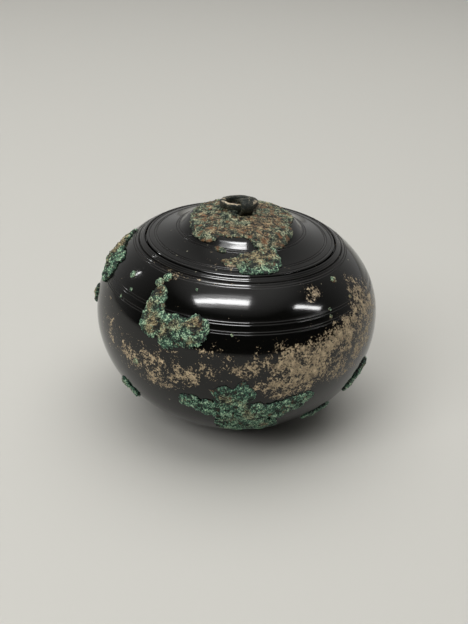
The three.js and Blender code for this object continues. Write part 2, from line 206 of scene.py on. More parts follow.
# %% [markdown]
# ## Shared node helpers
# Shader and geometry trees are both made of nodes and links, so the same short helpers serve all of
# them: one adds a node and fills its inputs, one gives a group its named sockets, and the rest are sums,
# colour mixes and noise. An input that is given an output socket becomes a link, and anything else
# becomes its plain value. Wiring each tree by hand in the node editor gives the same, but can't be rerun.

# %% Node helpers
VALUE, COLOUR, VECTOR = "NodeSocketFloat", "NodeSocketColor", "NodeSocketVector"
SHAPE, FINISH = "NodeSocketGeometry", "NodeSocketMaterial"


def add_node(tree, kind, inputs=None, **settings):
    node = tree.nodes.new(kind)
    for setting, value in settings.items():
        setattr(node, setting, value)
    for key, value in (inputs or {}).items():
        if isinstance(value, bpy.types.NodeSocket):
            tree.links.new(value, node.inputs[key])
        else:
            node.inputs[key].default_value = value
    return node


def result(tree, kind, inputs=None, **settings):
    return add_node(tree, kind, inputs, **settings).outputs[0]


def new_group(name, kind, sockets_in, sockets_out):
    tree = bpy.data.node_groups.new(name, kind)
    for direction, sockets in (("INPUT", sockets_in), ("OUTPUT", sockets_out)):
        for label, socket_type in sockets:
            tree.interface.new_socket(name=label, in_out=direction, socket_type=socket_type)
    start = tree.nodes.new("NodeGroupInput")
    end = tree.nodes.new("NodeGroupOutput")
    return tree, start.outputs, end.inputs


print("node helpers ready")


# %% Sums, mixes and noise
def calculate(tree, operation, first, second=0.0, clamp=False):
    inputs = {0: first, 1: second}
    return result(tree, "ShaderNodeMath", inputs, operation=operation, use_clamp=clamp)


def weighted_sum(tree, *terms):
    total, *others = [calculate(tree, "MULTIPLY", value, weight) for value, weight in terms]
    for other in others:
        total = calculate(tree, "ADD", total, other)
    return total


def cut(tree, value, level, sharpness):
    return calculate(tree, "MULTIPLY", calculate(tree, "SUBTRACT", value, level), sharpness, True)


def blend_colours(tree, share, first, second):
    inputs = {0: share, 6: first, 7: second}
    return add_node(tree, "ShaderNodeMix", inputs, data_type="RGBA").outputs[2]


def speckle(tree, place, scale, detail=4, roughness=0.6):
    inputs = {"Vector": place, "Scale": scale, "Detail": detail, "Roughness": roughness}
    return result(tree, "ShaderNodeTexNoise", inputs)


print("sums, mixes and noise ready")

# %% [markdown]
# ## Effects that finishes share
# Three effects are used by more than one finish, so each is a node group. Buff wear is where the black
# skin has gone: a broken noise is cut off at a level that a painted region raises or lowers, which gives
# the crisp flaked edges of real wear. Mineral mottle has the colours of copper minerals: green, brown
# earth and spots of rust. It also paints light and shade from the relief: a dark green shade in the
# hollows and a pale green highlight on the crests, tan where the crust is brown earth; the pale crests are
# partly the mineral's own colour as well. Fine pits are the small dents, the pale specks and the faint
# turning marks of the metal. Painted images would do as well, but noise that reads the object's own place
# never stretches and has no seam.

# %% Buff wear
WEAR_LEVEL = 0.66
WEAR_DROP = 0.185
FLAKE_MARGIN, FLAKE_SHARPNESS = 0.009, 60
STAIN_MARGIN, STAIN_SHARPNESS = 0.035, 20

wear, start, end = new_group(
    "buff_wear",
    "ShaderNodeTree",
    [("Place", VECTOR), ("Region", VALUE)],
    [("Mask", VALUE), ("Stain", VALUE), ("Tone", VALUE)],
)
flakes = speckle(wear, start["Place"], 190, 7, 0.75)
grains = speckle(wear, start["Place"], 1000, 3, 0.75)
shades = speckle(wear, start["Place"], 420, 6, 0.8)
broken = weighted_sum(wear, (flakes, 0.58), (grains, 0.42))
level = calculate(wear, "SUBTRACT", WEAR_LEVEL, calculate(wear, "MULTIPLY", start["Region"], WEAR_DROP))
over = calculate(wear, "SUBTRACT", broken, level)
wear.links.new(cut(wear, over, -FLAKE_MARGIN, FLAKE_SHARPNESS), end["Mask"])
wear.links.new(cut(wear, over, -STAIN_MARGIN, STAIN_SHARPNESS), end["Stain"])
wear.links.new(cut(wear, shades, 0.36, 3), end["Tone"])
print("buff wear:", len(wear.nodes), "nodes")

# %% Mineral mottle with painted shade and highlight
HOLLOW_SHADE_GREEN = (0.006, 0.011, 0.008, 1)
RUST = (0.26, 0.12, 0.045, 1)
GRAIN_CONTRAST = 12.0
TAN_SHARE = 0.75


def cut_by_share(tree, value, share, sharpness):
    level = calculate(tree, "SUBTRACT", 0.72, calculate(tree, "MULTIPLY", share, 0.44))
    return cut(tree, value, level, sharpness)


mottle, start, end = new_group(
    "mineral_mottle_and_shading",
    "ShaderNodeTree",
    [
        ("Place", VECTOR), ("Relief", VALUE), ("Green", COLOUR), ("Pale", COLOUR), ("Earth", COLOUR),
        ("Pale earth", COLOUR), ("Earth share", VALUE), ("Rust share", VALUE),
    ],
    [("Colour", COLOUR), ("Height", VALUE)],
)
coarse = speckle(mottle, start["Place"], 390, 5, 0.78)
fine = speckle(mottle, start["Place"], 1500, 2, 0.6)
hue = speckle(mottle, start["Place"], 115, 7, 0.72)
stain = speckle(mottle, start["Place"], 310, 5, 0.7)
grain = calculate(mottle, "MULTIPLY", calculate(mottle, "ADD", coarse, fine), 0.5)
grainy = calculate(mottle, "MULTIPLY", calculate(mottle, "SUBTRACT", grain, 0.5), GRAIN_CONTRAST)
standing = calculate(mottle, "ADD", start["Relief"], grainy)
earth_mask = cut_by_share(mottle, hue, start["Earth share"], 6)
tan_mask = calculate(mottle, "MULTIPLY", earth_mask, TAN_SHARE)
earthy = blend_colours(mottle, earth_mask, start["Green"], start["Earth"])
crest = blend_colours(mottle, tan_mask, start["Pale"], start["Pale earth"])
# Painted shade: low relief is mixed to a dark green in the hollows. Painted highlight: high relief is mixed
# to the pale crest colours, which are partly the mineral's own colour.
shaded = blend_colours(mottle, cut(mottle, standing, 0.0, 1.4), HOLLOW_SHADE_GREEN, earthy)
raised = blend_colours(mottle, cut(mottle, standing, 0.7, 1.05), shaded, crest)
rusty = blend_colours(mottle, cut_by_share(mottle, stain, start["Rust share"], 8), raised, RUST)
mottle.links.new(rusty, end["Colour"])
mottle.links.new(grain, end["Height"])
print("mineral mottle:", len(mottle.nodes), "nodes")

# %% Fine pits
TURNING_MARKS = (40, 40, 900)
MARK_DEPTH = 0.4
SPECK_SPACING = 210.0
SPECK_SIZE = 0.09
SPECK_RARITY = 0.86

pits, start, end = new_group(
    "fine_pits", "ShaderNodeTree", [("Place", VECTOR)], [("Height", VALUE), ("Specks", VALUE)]
)
dents = speckle(pits, start["Place"], 90, 1, 0.5)
round_axis = result(
    pits, "ShaderNodeVectorMath", {0: start["Place"], 1: TURNING_MARKS}, operation="MULTIPLY"
)
marks = calculate(pits, "MULTIPLY", speckle(pits, round_axis, 1, 3), MARK_DEPTH)
spots = add_node(pits, "ShaderNodeTexVoronoi", {"Vector": start["Place"], "Scale": SPECK_SPACING}).outputs
chance = result(pits, "ShaderNodeSeparateColor", {0: spots["Color"]})
near = calculate(pits, "LESS_THAN", spots["Distance"], SPECK_SIZE)
few = calculate(pits, "GREATER_THAN", chance, SPECK_RARITY)
pits.links.new(calculate(pits, "ADD", dents, marks), end["Height"])
pits.links.new(calculate(pits, "MULTIPLY", near, few), end["Specks"])
print("fine pits:", len(pits.nodes), "nodes")

# %% [markdown]
# ## Finishes
# The bowl and the lid are black and glossy, with dull dirt in the cut lines and buff patches where the
# black has worn off. The ring and its strap are a duller bronze, buff on their upper faces, which is
# handling wear and also a painted highlight where light falls on top. The crusts are rough mineral, in a
# pale, a green and a brown kind. Each is one Principled shader, and the groups give it colour, roughness
# and bump. A mask drawn by hand could say where each effect goes, but here the meshes carry "wear",
# "cuts", "relief" and "core" as values on their points, so the colours follow the shapes; "relief" turns
# into painted shade in hollows and painted highlight on knobs.


# %% Start a finish
def new_finish(name):
    finish = bpy.data.materials.new(name)
    finish.use_nodes = True
    tree = finish.node_tree
    place = add_node(tree, "ShaderNodeTexCoord").outputs["Object"]
    return finish, tree, tree.nodes["Principled BSDF"].inputs, place


def use_group(tree, group, inputs):
    return add_node(tree, "ShaderNodeGroup", inputs, node_tree=group).outputs


def painted(tree, name):
    return add_node(tree, "ShaderNodeAttribute", attribute_name=name).outputs["Fac"]


def bump(tree, height, strength, distance):
    return result(tree, "ShaderNodeBump", {"Height": height, "Strength": strength, "Distance": distance})


print("finish helpers ready")

# %% Black patina with buff wear
PATINA_BLACK = (0.0025, 0.0025, 0.0022, 1)
BROWN_STAIN = (0.04, 0.03, 0.018, 1)
BUFF_DARK = (0.1, 0.074, 0.043, 1)
BUFF_PALE = (0.8, 0.63, 0.4, 1)
SPECK_PALE = (0.2, 0.19, 0.14, 1)
CUT_DIRT = (0.006, 0.005, 0.004, 1)
POLISH = 0.095

patina, tree, skin, place = new_finish("black_patina")
worn = use_group(tree, wear, {"Place": place, "Region": painted(tree, "wear")})
pitted = use_group(tree, pits, {"Place": place})
cuts = painted(tree, "cuts")
buff = blend_colours(tree, worn["Tone"], BUFF_DARK, BUFF_PALE)
black = blend_colours(tree, pitted["Specks"], PATINA_BLACK, SPECK_PALE)
dirty = blend_colours(tree, cuts, black, CUT_DIRT)
stained = blend_colours(tree, worn["Stain"], dirty, BROWN_STAIN)
tree.links.new(blend_colours(tree, worn["Mask"], stained, buff), skin["Base Color"])
dullness = weighted_sum(tree, (worn["Mask"], 0.25), (worn["Stain"], 0.18), (cuts, 0.6))
tree.links.new(calculate(tree, "ADD", dullness, POLISH), skin["Roughness"])
relief = calculate(tree, "ADD", calculate(tree, "MULTIPLY", worn["Mask"], 0.12), pitted["Height"])
tree.links.new(bump(tree, relief, strength=0.08, distance=0.0004), skin["Normal"])
skin["IOR"].default_value = 1.46
print("finish:", patina.name)

# %% Dull bronze of the ring and its loop
WORN_AND_LIT_DARK = (0.3, 0.24, 0.15, 1)
WORN_AND_LIT_PALE = (0.72, 0.63, 0.45, 1)
DULL_TINTS = {
    "Green": (0.008, 0.013, 0.009, 1),
    "Pale": (0.07, 0.07, 0.048, 1),
    "Earth": (0.02, 0.016, 0.01, 1),
    "Pale earth": (0.06, 0.05, 0.032, 1),
    "Earth share": 0.5,
    "Rust share": 0.14,
}

dull, tree, skin, place = new_finish("dull_bronze")
pitted = use_group(tree, pits, {"Place": place})
tinted = use_group(tree, mottle, {"Place": place, "Relief": pitted["Height"], **DULL_TINTS})
# Where "wear" is high the bronze turns buff: handling wear, and also a painted highlight on the upper faces.
worn = use_group(tree, wear, {"Place": place, "Region": painted(tree, "wear")})
buff = blend_colours(tree, worn["Tone"], WORN_AND_LIT_DARK, WORN_AND_LIT_PALE)
tree.links.new(blend_colours(tree, worn["Mask"], tinted["Colour"], buff), skin["Base Color"])
tree.links.new(bump(tree, tinted["Height"], strength=0.9, distance=0.0007), skin["Normal"])
skin["Roughness"].default_value = 0.5
skin["Specular IOR Level"].default_value = 0.35
print("finish:", dull.name)


# %% Corrosion crusts
PALE_EARTH = (0.5, 0.34, 0.17, 1)


def crust_finish(name, green, pale, earth, earth_share, rust_share):
    finish, tree, skin, place = new_finish(name)
    inputs = {
        "Place": place,
        "Relief": painted(tree, "relief"),
        "Green": green,
        "Pale": pale,
        "Earth": earth,
        "Pale earth": PALE_EARTH,
        "Earth share": calculate(tree, "MULTIPLY", painted(tree, "core"), earth_share),
        "Rust share": rust_share,
    }
    mixed = use_group(tree, mottle, inputs)
    tree.links.new(mixed["Colour"], skin["Base Color"])
    tree.links.new(bump(tree, mixed["Height"], strength=1.0, distance=0.0014), skin["Normal"])
    skin["Roughness"].default_value = 0.5
    skin["Specular IOR Level"].default_value = 0.5
    return finish


pale_crust = crust_finish(
    "pale_crust", (0.052, 0.19, 0.11, 1), (0.62, 0.82, 0.55, 1), (0.24, 0.19, 0.09, 1), 0.6, 0.3
)
green_crust = crust_finish(
    "green_crust", (0.04, 0.19, 0.115, 1), (0.56, 0.76, 0.52, 1), (0.22, 0.17, 0.085, 1), 0.5, 0.3
)
earthy_crust = crust_finish(
    "earthy_crust", (0.085, 0.145, 0.085, 1), (0.58, 0.57, 0.37, 1), (0.21, 0.14, 0.065, 1), 0.55, 0.46
)
print("finishes:", pale_crust.name, green_crust.name, earthy_crust.name)

# %% [markdown]
# ## Turning a profile
# A lathe makes a solid from one line, and so does this tree. The piece's profile is a chain of points
# with radius along X and height along Z. A grid has one row for each profile point and one column for
# each step round, and every grid point is moved to its profile point, turned by its column's angle. The
# steps go clockwise, so that the faces point outwards.
# The Screw modifier could do this too, but here the same tree also smooths the faces, marks sharp edges
# and sets the finish.


# %% End a tree
def end_tree(tree, shape, finish, output, crease=None):
    smooth = result(tree, "GeometryNodeSetShadeSmooth", {0: shape, 2: True})
    if crease:
        corner = add_node(tree, "GeometryNodeInputMeshEdgeAngle").outputs["Unsigned Angle"]
        sharp = calculate(tree, "GREATER_THAN", corner, math.radians(crease))
        inputs = {0: smooth, 1: sharp, 2: False}
        smooth = result(tree, "GeometryNodeSetShadeSmooth", inputs, domain="EDGE")
    whole = result(tree, "GeometryNodeRealizeInstances", {0: smooth})
    finished = result(tree, "GeometryNodeSetMaterial", {"Geometry": whole, "Material": finish})
    tree.links.new(finished, output)
    print(tree.name, "has", len(tree.nodes), "nodes")


# %% Build the lathe tree
SEAM_MERGE = 1e-6

lathe, start, end = new_group(
    "turn_profile",
    "GeometryNodeTree",
    [("Profile", SHAPE), ("Steps round", "NodeSocketInt"), ("Finish", FINISH)],
    [("Turned", SHAPE)],
)
columns = result(lathe, "FunctionNodeIntegerMath", {0: start["Steps round"], 1: 1}, operation="ADD")
rows = add_node(lathe, "GeometryNodeAttributeDomainSize", {0: start["Profile"]}).outputs["Point Count"]
grid = result(lathe, "GeometryNodeMeshGrid", {"Vertices X": rows, "Vertices Y": columns})
index = result(lathe, "GeometryNodeInputIndex")
row = result(lathe, "FunctionNodeIntegerMath", {0: index, 1: columns}, operation="DIVIDE_FLOOR")
column = result(lathe, "FunctionNodeIntegerMath", {0: index, 1: columns}, operation="MODULO")
profile_place = result(lathe, "GeometryNodeInputPosition")
looked_up = {"Geometry": start["Profile"], "Value": profile_place, "Index": row}
sample = result(lathe, "GeometryNodeSampleIndex", looked_up, data_type="FLOAT_VECTOR")
spot = add_node(lathe, "ShaderNodeSeparateXYZ", {0: sample}).outputs
turn = calculate(lathe, "DIVIDE", calculate(lathe, "MULTIPLY", column, -2 * math.pi), start["Steps round"])
across = calculate(lathe, "MULTIPLY", spot["X"], calculate(lathe, "COSINE", turn))
along = calculate(lathe, "MULTIPLY", spot["X"], calculate(lathe, "SINE", turn))
moved = result(lathe, "ShaderNodeCombineXYZ", {"X": across, "Y": along, "Z": spot["Z"]})
placed = result(lathe, "GeometryNodeSetPosition", {"Geometry": grid, "Position": moved})
closed = result(lathe, "GeometryNodeMergeByDistance", {"Geometry": placed, "Distance": SEAM_MERGE})
end_tree(lathe, closed, start["Finish"], end["Turned"], crease=40)


# %% Run a tree and keep its mesh
def run_tree(name, mesh, tree, values):
    piece = bpy.data.objects.new(name, mesh)
    scene.collection.objects.link(piece)
    modifier = piece.modifiers.new(tree.name, "NODES")
    modifier.node_group = tree
    for socket in tree.interface.items_tree:
        if socket.item_type == "SOCKET" and socket.in_out == "INPUT" and socket.name in values:
            modifier[socket.identifier] = values[socket.name]
    shaped = piece.evaluated_get(bpy.context.evaluated_depsgraph_get())
    kept = bpy.data.meshes.new_from_object(shaped)
    piece.modifiers.clear()
    piece.data = kept
    kept.name = name
    return piece


def chain_mesh(name, points, closed=False):
    mesh = bpy.data.meshes.new(name)
    links = [(i, i + 1) for i in range(len(points) - 1)]
    if closed:
        links.append((len(points) - 1, 0))
    mesh.from_pydata([tuple(float(x) * MM for x in point) for point in points], links, [])
    return mesh


def tell(piece):
    mesh = piece.data
    mesh.calc_loop_triangles()
    points = np.array([v.co for v in mesh.vertices]) / MM
    a, b, c = np.moveaxis(points[np.array([t.vertices for t in mesh.loop_triangles])], 1, 0)
    volume = np.einsum("ij,ij->i", a, np.cross(b, c)).sum() / 6
    print(piece.name, "has", len(mesh.polygons), "faces and", round(float(volume)), "mm3")


def turn_piece(name, profile, steps, finish):
    points = [(radius, 0, height) for radius, height in profile]
    piece = run_tree(name, chain_mesh(name, points), lathe, {"Steps round": steps, "Finish": finish})
    tell(piece)
    return piece


print("lathe ready")

# %% [markdown]
# ## The bowl
# The body is a full shoulder over a rounder belly, each a superellipse, which is an ellipse whose
# exponent makes it fuller or leaner. A place on it is given by its latitude, from the equator up to the
# mouth and down to the base. The turner cut fine lines into it: a band round the mouth and two close
# groups on the shoulder. They could be bump in the finish, but here they are sunk into the profile
# itself, so they catch the light as cuts. A line is given by its place along the curve, measured from
# the mouth, its half width on either side, and its depth.

# %% The body's curve
BODY_RADIUS = 70
EQUATOR_HEIGHT = 53.5
BASE_RADIUS = 26
MOUTH_RADIUS = 46.3
RIM_HEIGHT = 92.9
SHOULDER_FULLNESS = 2.2
BELLY_FULLNESS = 2
BOWL_WALL = 3


def full_reach(radius, height, fullness):
    return height / (1 - (radius / BODY_RADIUS) ** fullness) ** (1 / fullness)


SHOULDER_REACH = full_reach(MOUTH_RADIUS, RIM_HEIGHT - EQUATOR_HEIGHT, SHOULDER_FULLNESS)
BELLY_REACH = full_reach(BASE_RADIUS, EQUATOR_HEIGHT, BELLY_FULLNESS)


def rule_at(side, offset):
    fullness = np.where(side > 0, SHOULDER_FULLNESS, BELLY_FULLNESS)
    return fullness, np.where(side > 0, SHOULDER_REACH, BELLY_REACH) + offset


def body_curve(latitude, offset=0.0):
    latitude = np.asarray(latitude, float)
    angle = np.radians(np.abs(latitude))
    fullness, reach = rule_at(latitude, offset)
    radius = (BODY_RADIUS + offset) * np.clip(np.cos(angle), 0, 1) ** (2 / fullness)
    height = EQUATOR_HEIGHT + np.sign(latitude) * reach * np.sin(angle) ** (2 / fullness)
    return np.stack([radius, height], -1)


def body_latitude(height, offset=0.0):
    rise = np.asarray(height, float) - EQUATOR_HEIGHT
    fullness, reach = rule_at(rise, offset)
    return np.sign(rise) * np.degrees(np.arcsin(np.minimum(1, np.abs(rise / reach)) ** (fullness / 2)))


print("reach over and under the equator:", round(SHOULDER_REACH, 1), round(BELLY_REACH, 1))

# %% Cut lines into a curve
CUT_STATIONS = 5
CUT_GUARD = 0.08
CLOSEST_STOPS = 0.03
SLOPE_REACH = 0.2


def arc_lengths(curve):
    return np.concatenate([[0], np.cumsum(np.hypot(*np.diff(curve, axis=0).T))])


def cut_lines(curve, lines, step):
    run = arc_lengths(curve)

    def on_curve(where):
        return np.stack([np.interp(where, run, curve[:, i]) for i in (0, 1)], 1)

    stops = [np.linspace(0, run[-1], round(run[-1] / step) + 1)]
    for at, inner, outer, _ in lines:
        stops += [at - inner * np.linspace(1, 0, CUT_STATIONS), at + outer * np.linspace(0, 1, CUT_STATIONS)]
        stops += [np.array([at - inner - CUT_GUARD, at + outer + CUT_GUARD])]
    stops = np.sort(np.clip(np.concatenate(stops), 0, run[-1]))
    stops = stops[np.concatenate([[True], np.diff(stops) > CLOSEST_STOPS])]
    forward = on_curve(stops + SLOPE_REACH) - on_curve(stops - SLOPE_REACH)
    forward /= np.linalg.norm(forward, axis=1)[:, None]
    sunk = np.zeros(len(stops))
    for at, inner, outer, depth in lines:
        sunk += depth * np.clip(1 - np.maximum((at - stops) / inner, (stops - at) / outer), 0, 1)
    return on_curve(stops) + np.stack([forward[:, 1], -forward[:, 0]], 1) * sunk[:, None]


print("cutter ready")

# %% Turn the bowl
SEAT_HEIGHT = RIM_HEIGHT - 3.1
SEAT_RADIUS = MOUTH_RADIUS - 3.3
SEAT_BOTTOM = SEAT_HEIGHT - 2.6
SEAT_SLOPE = 1.5
FLOOR_THICKNESS = 3
FLOOR_RADII = (18, 9, 0)
BASE_POINTS = [(0, 0), (9, 0), (18, 0), (25.4, 0), (25.9, 0.06)]
BELLY_START = 0.25
RIM_ROUND = [(0.55, 0.52), (0.25, 0.75), (0, 1.05)]
RIM_BAND = 0.75
MOUTH_LINES = [
    (1.95, 0.45, 0.3, 0.106), (2.9, 0.4, 0.25, 0.09), (3.75, 0.55, 0.4, 0.6), (5.4, 0.75, 0.45, 0.126),
    (6.45, 0.35, 0.5, 0.048),
]
SHOULDER_CUTS = [(22.25, 0.048), (23.45, 0.055), (26.5, 0.087), (27.65, 0.095)]
SHOULDER_LINES = [(at, 0.25, 0.22, depth) for at, depth in SHOULDER_CUTS]
SHOULDER_STEP = 1.3
BOWL_STEPS = 288

shoulder = body_curve(np.linspace(body_latitude(RIM_HEIGHT), 0, 400))
outside = cut_lines(shoulder, MOUTH_LINES + SHOULDER_LINES, SHOULDER_STEP)[::-1]
belly = body_curve(np.linspace(body_latitude(BELLY_START), 0, 56))
inside = body_curve(np.linspace(body_latitude(SEAT_BOTTOM - SEAT_SLOPE, -BOWL_WALL), 0, 18), -BOWL_WALL)
inner_belly = body_curve(np.linspace(0, body_latitude(FLOOR_THICKNESS, -BOWL_WALL), 26), -BOWL_WALL)
bowl_profile = [
    *BASE_POINTS, *belly[:-1], *[point for point in outside if point[0] > MOUTH_RADIUS + RIM_BAND],
    *[(MOUTH_RADIUS + out, RIM_HEIGHT - drop) for out, drop in RIM_ROUND],
    (MOUTH_RADIUS, SEAT_HEIGHT), (SEAT_RADIUS, SEAT_HEIGHT), (SEAT_RADIUS, SEAT_BOTTOM),
    *inside[:-1], *inner_belly, *[(radius, FLOOR_THICKNESS) for radius in FLOOR_RADII],
]
bowl = turn_piece("bronze_bowl", bowl_profile, BOWL_STEPS, patina)

# %% [markdown]
# ## The lid
# The lid drops into a step in the bowl's mouth. A slightly hollow cone rises from its edge to a low boss
# with a rounded shoulder, and a collar under it keeps it centred. It is turned by the same tree, from
# its own profile. A smooth curve through a few points gives the flank of the boss; arcs would meet it
# less softly.


# %% Smooth curve through points
def smooth_through(points, per_span=8):
    knots = np.array(points, float)
    padded = np.vstack([2 * knots[0] - knots[1], knots, 2 * knots[-1] - knots[-2]])
    share = np.linspace(0, 1, per_span, endpoint=False)[:, None]
    spans = []
    for a, b, c, d in zip(padded, padded[1:], padded[2:], padded[3:]):
        spans.append(
            0.5 * (2 * b + (c - a) * share + (2 * a - 5 * b + 4 * c - d) * share**2
                   + (3 * b - a - 3 * c + d) * share**3)
        )
    return np.vstack([*spans, knots[-1:]])


print("smooth curve ready")

# %% The lid's upper face
LID_RADIUS = MOUTH_RADIUS - 0.6
LID_EDGE_HEIGHT = RIM_HEIGHT - 0.3
LID_WALL = 2.2
BOSS_RADIUS = 29.4
BOSS_FOOT_HEIGHT = LID_EDGE_HEIGHT + 5.4
BOSS_FLANK = 5
BOSS_HEIGHT = 4.1
CONE_HOLLOW = 0.6
DOME_RISE = 1.4
BOSS_SHOULDER_RADIUS = BOSS_RADIUS - BOSS_FLANK
BOSS_SHOULDER_HEIGHT = BOSS_FOOT_HEIGHT + BOSS_HEIGHT
BOSS_TOP_HEIGHT = BOSS_SHOULDER_HEIGHT + DOME_RISE
BOSS_UNDERSIDE = BOSS_SHOULDER_HEIGHT - LID_WALL


def dome_height(radius):
    return BOSS_TOP_HEIGHT - DOME_RISE * (radius / BOSS_SHOULDER_RADIUS) ** 2


share = np.linspace(0, 1, 60)[:, None]
foot = np.array([BOSS_RADIUS, BOSS_FOOT_HEIGHT])
edge = np.array([LID_RADIUS, LID_EDGE_HEIGHT])
sag = (foot + edge) / 2 - np.array([0, 2 * CONE_HOLLOW])
cone = foot * (1 - share) ** 2 + 2 * sag * share * (1 - share) + edge * share**2
boss = smooth_through([
    (BOSS_RADIUS, BOSS_FOOT_HEIGHT),
    (BOSS_RADIUS - BOSS_FLANK * 0.35, BOSS_FOOT_HEIGHT + BOSS_HEIGHT * 0.43),
    (BOSS_RADIUS - BOSS_FLANK * 0.66, BOSS_FOOT_HEIGHT + BOSS_HEIGHT * 0.79),
    (BOSS_SHOULDER_RADIUS, BOSS_SHOULDER_HEIGHT),
    *[(BOSS_SHOULDER_RADIUS * s, dome_height(BOSS_SHOULDER_RADIUS * s)) for s in (0.9, 0.6, 0.3)],
    (0, BOSS_TOP_HEIGHT),
])
print("boss from", boss[0], "to", boss[-1])

# %% Turn the lid
BOSS_LINES = [(at, 0.45, 0.35, 0.23) for at in (0.9, 2.2)]
EDGE_LINES = [(inset, 0.45, 0.4, 0.23) for inset in (1.3, 3.9, 5.0)]
EDGE_BEVEL = [
    (0, -0.4), (0, -0.25), (0.03, -0.2), (0.07, -0.16), (0.23, 0), (0.27, 0.04), (0.33, 0.075), (0.5, 0.13),
    (0.7, 0.18),
]
EDGE_BAND = 0.75
SEAT_GAP = 0.3
COLLAR_RADIUS = SEAT_RADIUS - 0.6
COLLAR_BORE = COLLAR_RADIUS - 1.9
COLLAR_BOTTOM = SEAT_HEIGHT - 5
COLLAR_BEVEL = 0.3
CONE_STEP = 1.0
LID_STEPS = 240

cone_length = arc_lengths(cone)[-1]
cone_lines = BOSS_LINES + [(cone_length - inset, *shape) for inset, *shape in EDGE_LINES]
face = cut_lines(cone, cone_lines, CONE_STEP)[::-1]
collar_top = np.interp(COLLAR_BORE, cone[:, 0], cone[:, 1]) - LID_WALL
lid_profile = [
    (0, BOSS_UNDERSIDE), (11, BOSS_UNDERSIDE), (BOSS_SHOULDER_RADIUS - LID_WALL, BOSS_UNDERSIDE),
    (BOSS_RADIUS - LID_WALL, BOSS_FOOT_HEIGHT - LID_WALL), (COLLAR_BORE, collar_top),
    (COLLAR_BORE, COLLAR_BOTTOM + COLLAR_BEVEL), (COLLAR_BORE + COLLAR_BEVEL, COLLAR_BOTTOM),
    (COLLAR_RADIUS - COLLAR_BEVEL, COLLAR_BOTTOM), (COLLAR_RADIUS, COLLAR_BOTTOM + COLLAR_BEVEL),
    (COLLAR_RADIUS, SEAT_HEIGHT + SEAT_GAP), (LID_RADIUS, SEAT_HEIGHT + SEAT_GAP),
    *[(LID_RADIUS - inset, LID_EDGE_HEIGHT + rise) for inset, rise in EDGE_BEVEL],
    *[point for point in face if point[0] < LID_RADIUS - EDGE_BAND], *boss[1:],
]
lid = turn_piece("bronze_lid", lid_profile, LID_STEPS, patina)

# %% [markdown]
# ## Where the patina has worn
# The buff wear is not even: it lies in a broken band round the belly, heaviest on the right, with a few
# flecks on the shoulder. Each patch below is a soft spot on the surface, given by azimuth, latitude,
# half width, half height and strength. Their sum is kept on the mesh's points as "wear", and the finish
# turns it into flakes. The cut lines get a second layer, "cuts", where dirt takes away their gloss. An
# image would hold the same shapes, but it would not follow a new size.

# %% Paint the wear
INSIDE_WEAR = 0.35
WEAR_SPOTS = [
    (-58, 5, 9, 13, 0.58), (-46, -2, 8, 7, 0.58), (-36, -2, 8, 8, 0.74), (-28, 0, 7, 7, 0.64),
    (-26, 8, 4, 4, 0.6), (-30, -10, 9, 5, 0.66), (-20, -4, 8, 6, 0.6), (-14, 0, 7, 6, 0.56),
    (-8, 3, 6, 5, 0.5), (-10, 10, 5, 4, 0.42), (0, 8, 5, 4, 0.5), (4, 3, 5, 4, 0.6), (8, 6, 5, 4, 0.6),
    (-5, 15, 6, 3, 0.3), (14, 9, 7, 6, 0.78), (19, 12, 6, 5, 0.8), (26, 9, 8, 7, 1.0), (32, 3, 9, 8, 1.04),
    (25, 0, 7, 6, 0.94), (38, 8, 9, 9, 1.02), (44, 14, 9, 7, 0.95), (52, 18, 9, 6, 0.88),
    (60, 20, 8, 6, 0.8), (62, 8, 9, 10, 0.94), (54, 2, 9, 9, 0.9), (43, -6, 9, 6, 0.75), (14, -3, 6, 4, 0.75),
    (20, -9, 8, 4, 0.8), (11, -6, 5, 3, 0.7), (30, -6, 7, 4, 0.65), (33, 41, 4, 3.5, 0.66),
    (39, 38, 5, 4, 0.7), (33, 36, 4, 3, 0.66), (65, 36, 7, 4.5, 0.5), (61, 31, 7, 5, 0.5),
    (67, 26, 9, 7, 0.75), (75, 18, 10, 10, 0.7), (84, 12, 12, 12, 0.7), (112, 6, 16, 12, 0.6),
    (150, -4, 18, 9, 0.55), (-172, 9, 16, 8, 0.5), (-128, 0, 18, 11, 0.6), (-92, -4, 14, 10, 0.5),
    (0, 2, 75, 13, 0.2), (-52, 46, 9, 1.6, 0.5), (-36, 45, 8, 1.8, 0.6), (-22, 46, 9, 1.6, 0.55),
    (-6, 46, 9, 1.4, 0.4),
]


def paint(mesh, name, values):
    layer = mesh.attributes.new(name, "FLOAT", "POINT")
    layer.data.foreach_set("value", np.asarray(values, np.float32))


def measure_points(piece):
    points = np.array([v.co for v in piece.data.vertices]) / MM
    azimuth = np.degrees(np.arctan2(points[:, 0], -points[:, 1]))
    return azimuth, np.hypot(points[:, 0], points[:, 1]), points[:, 2]


azimuth, radius, height = measure_points(bowl)
latitude = body_latitude(height)
worn = np.zeros(len(height))
for spot_azimuth, spot_latitude, half_width, half_height, strength in WEAR_SPOTS:
    aside = (azimuth - spot_azimuth + 180) % 360 - 180
    spot = strength * np.exp(-((aside / half_width) ** 2 + ((latitude - spot_latitude) / half_height) ** 2))
    worn = 1 - (1 - worn) * (1 - spot)
outer = body_curve(latitude)[:, 0] - radius < BOWL_WALL / 2
paint(bowl.data, "wear", np.where(outer, worn, INSIDE_WEAR))
print("mean wear of the bowl:", round(float(worn.mean()), 3))

# %% Lay dirt in the bowl's lines
GROOVE_DIRT = [(3.7, 0.65), (5.62, 0.3), (6.7, 0.3), (22.1, 0.2), (23.3, 0.2), (26.35, 0.2), (27.5, 0.2)]

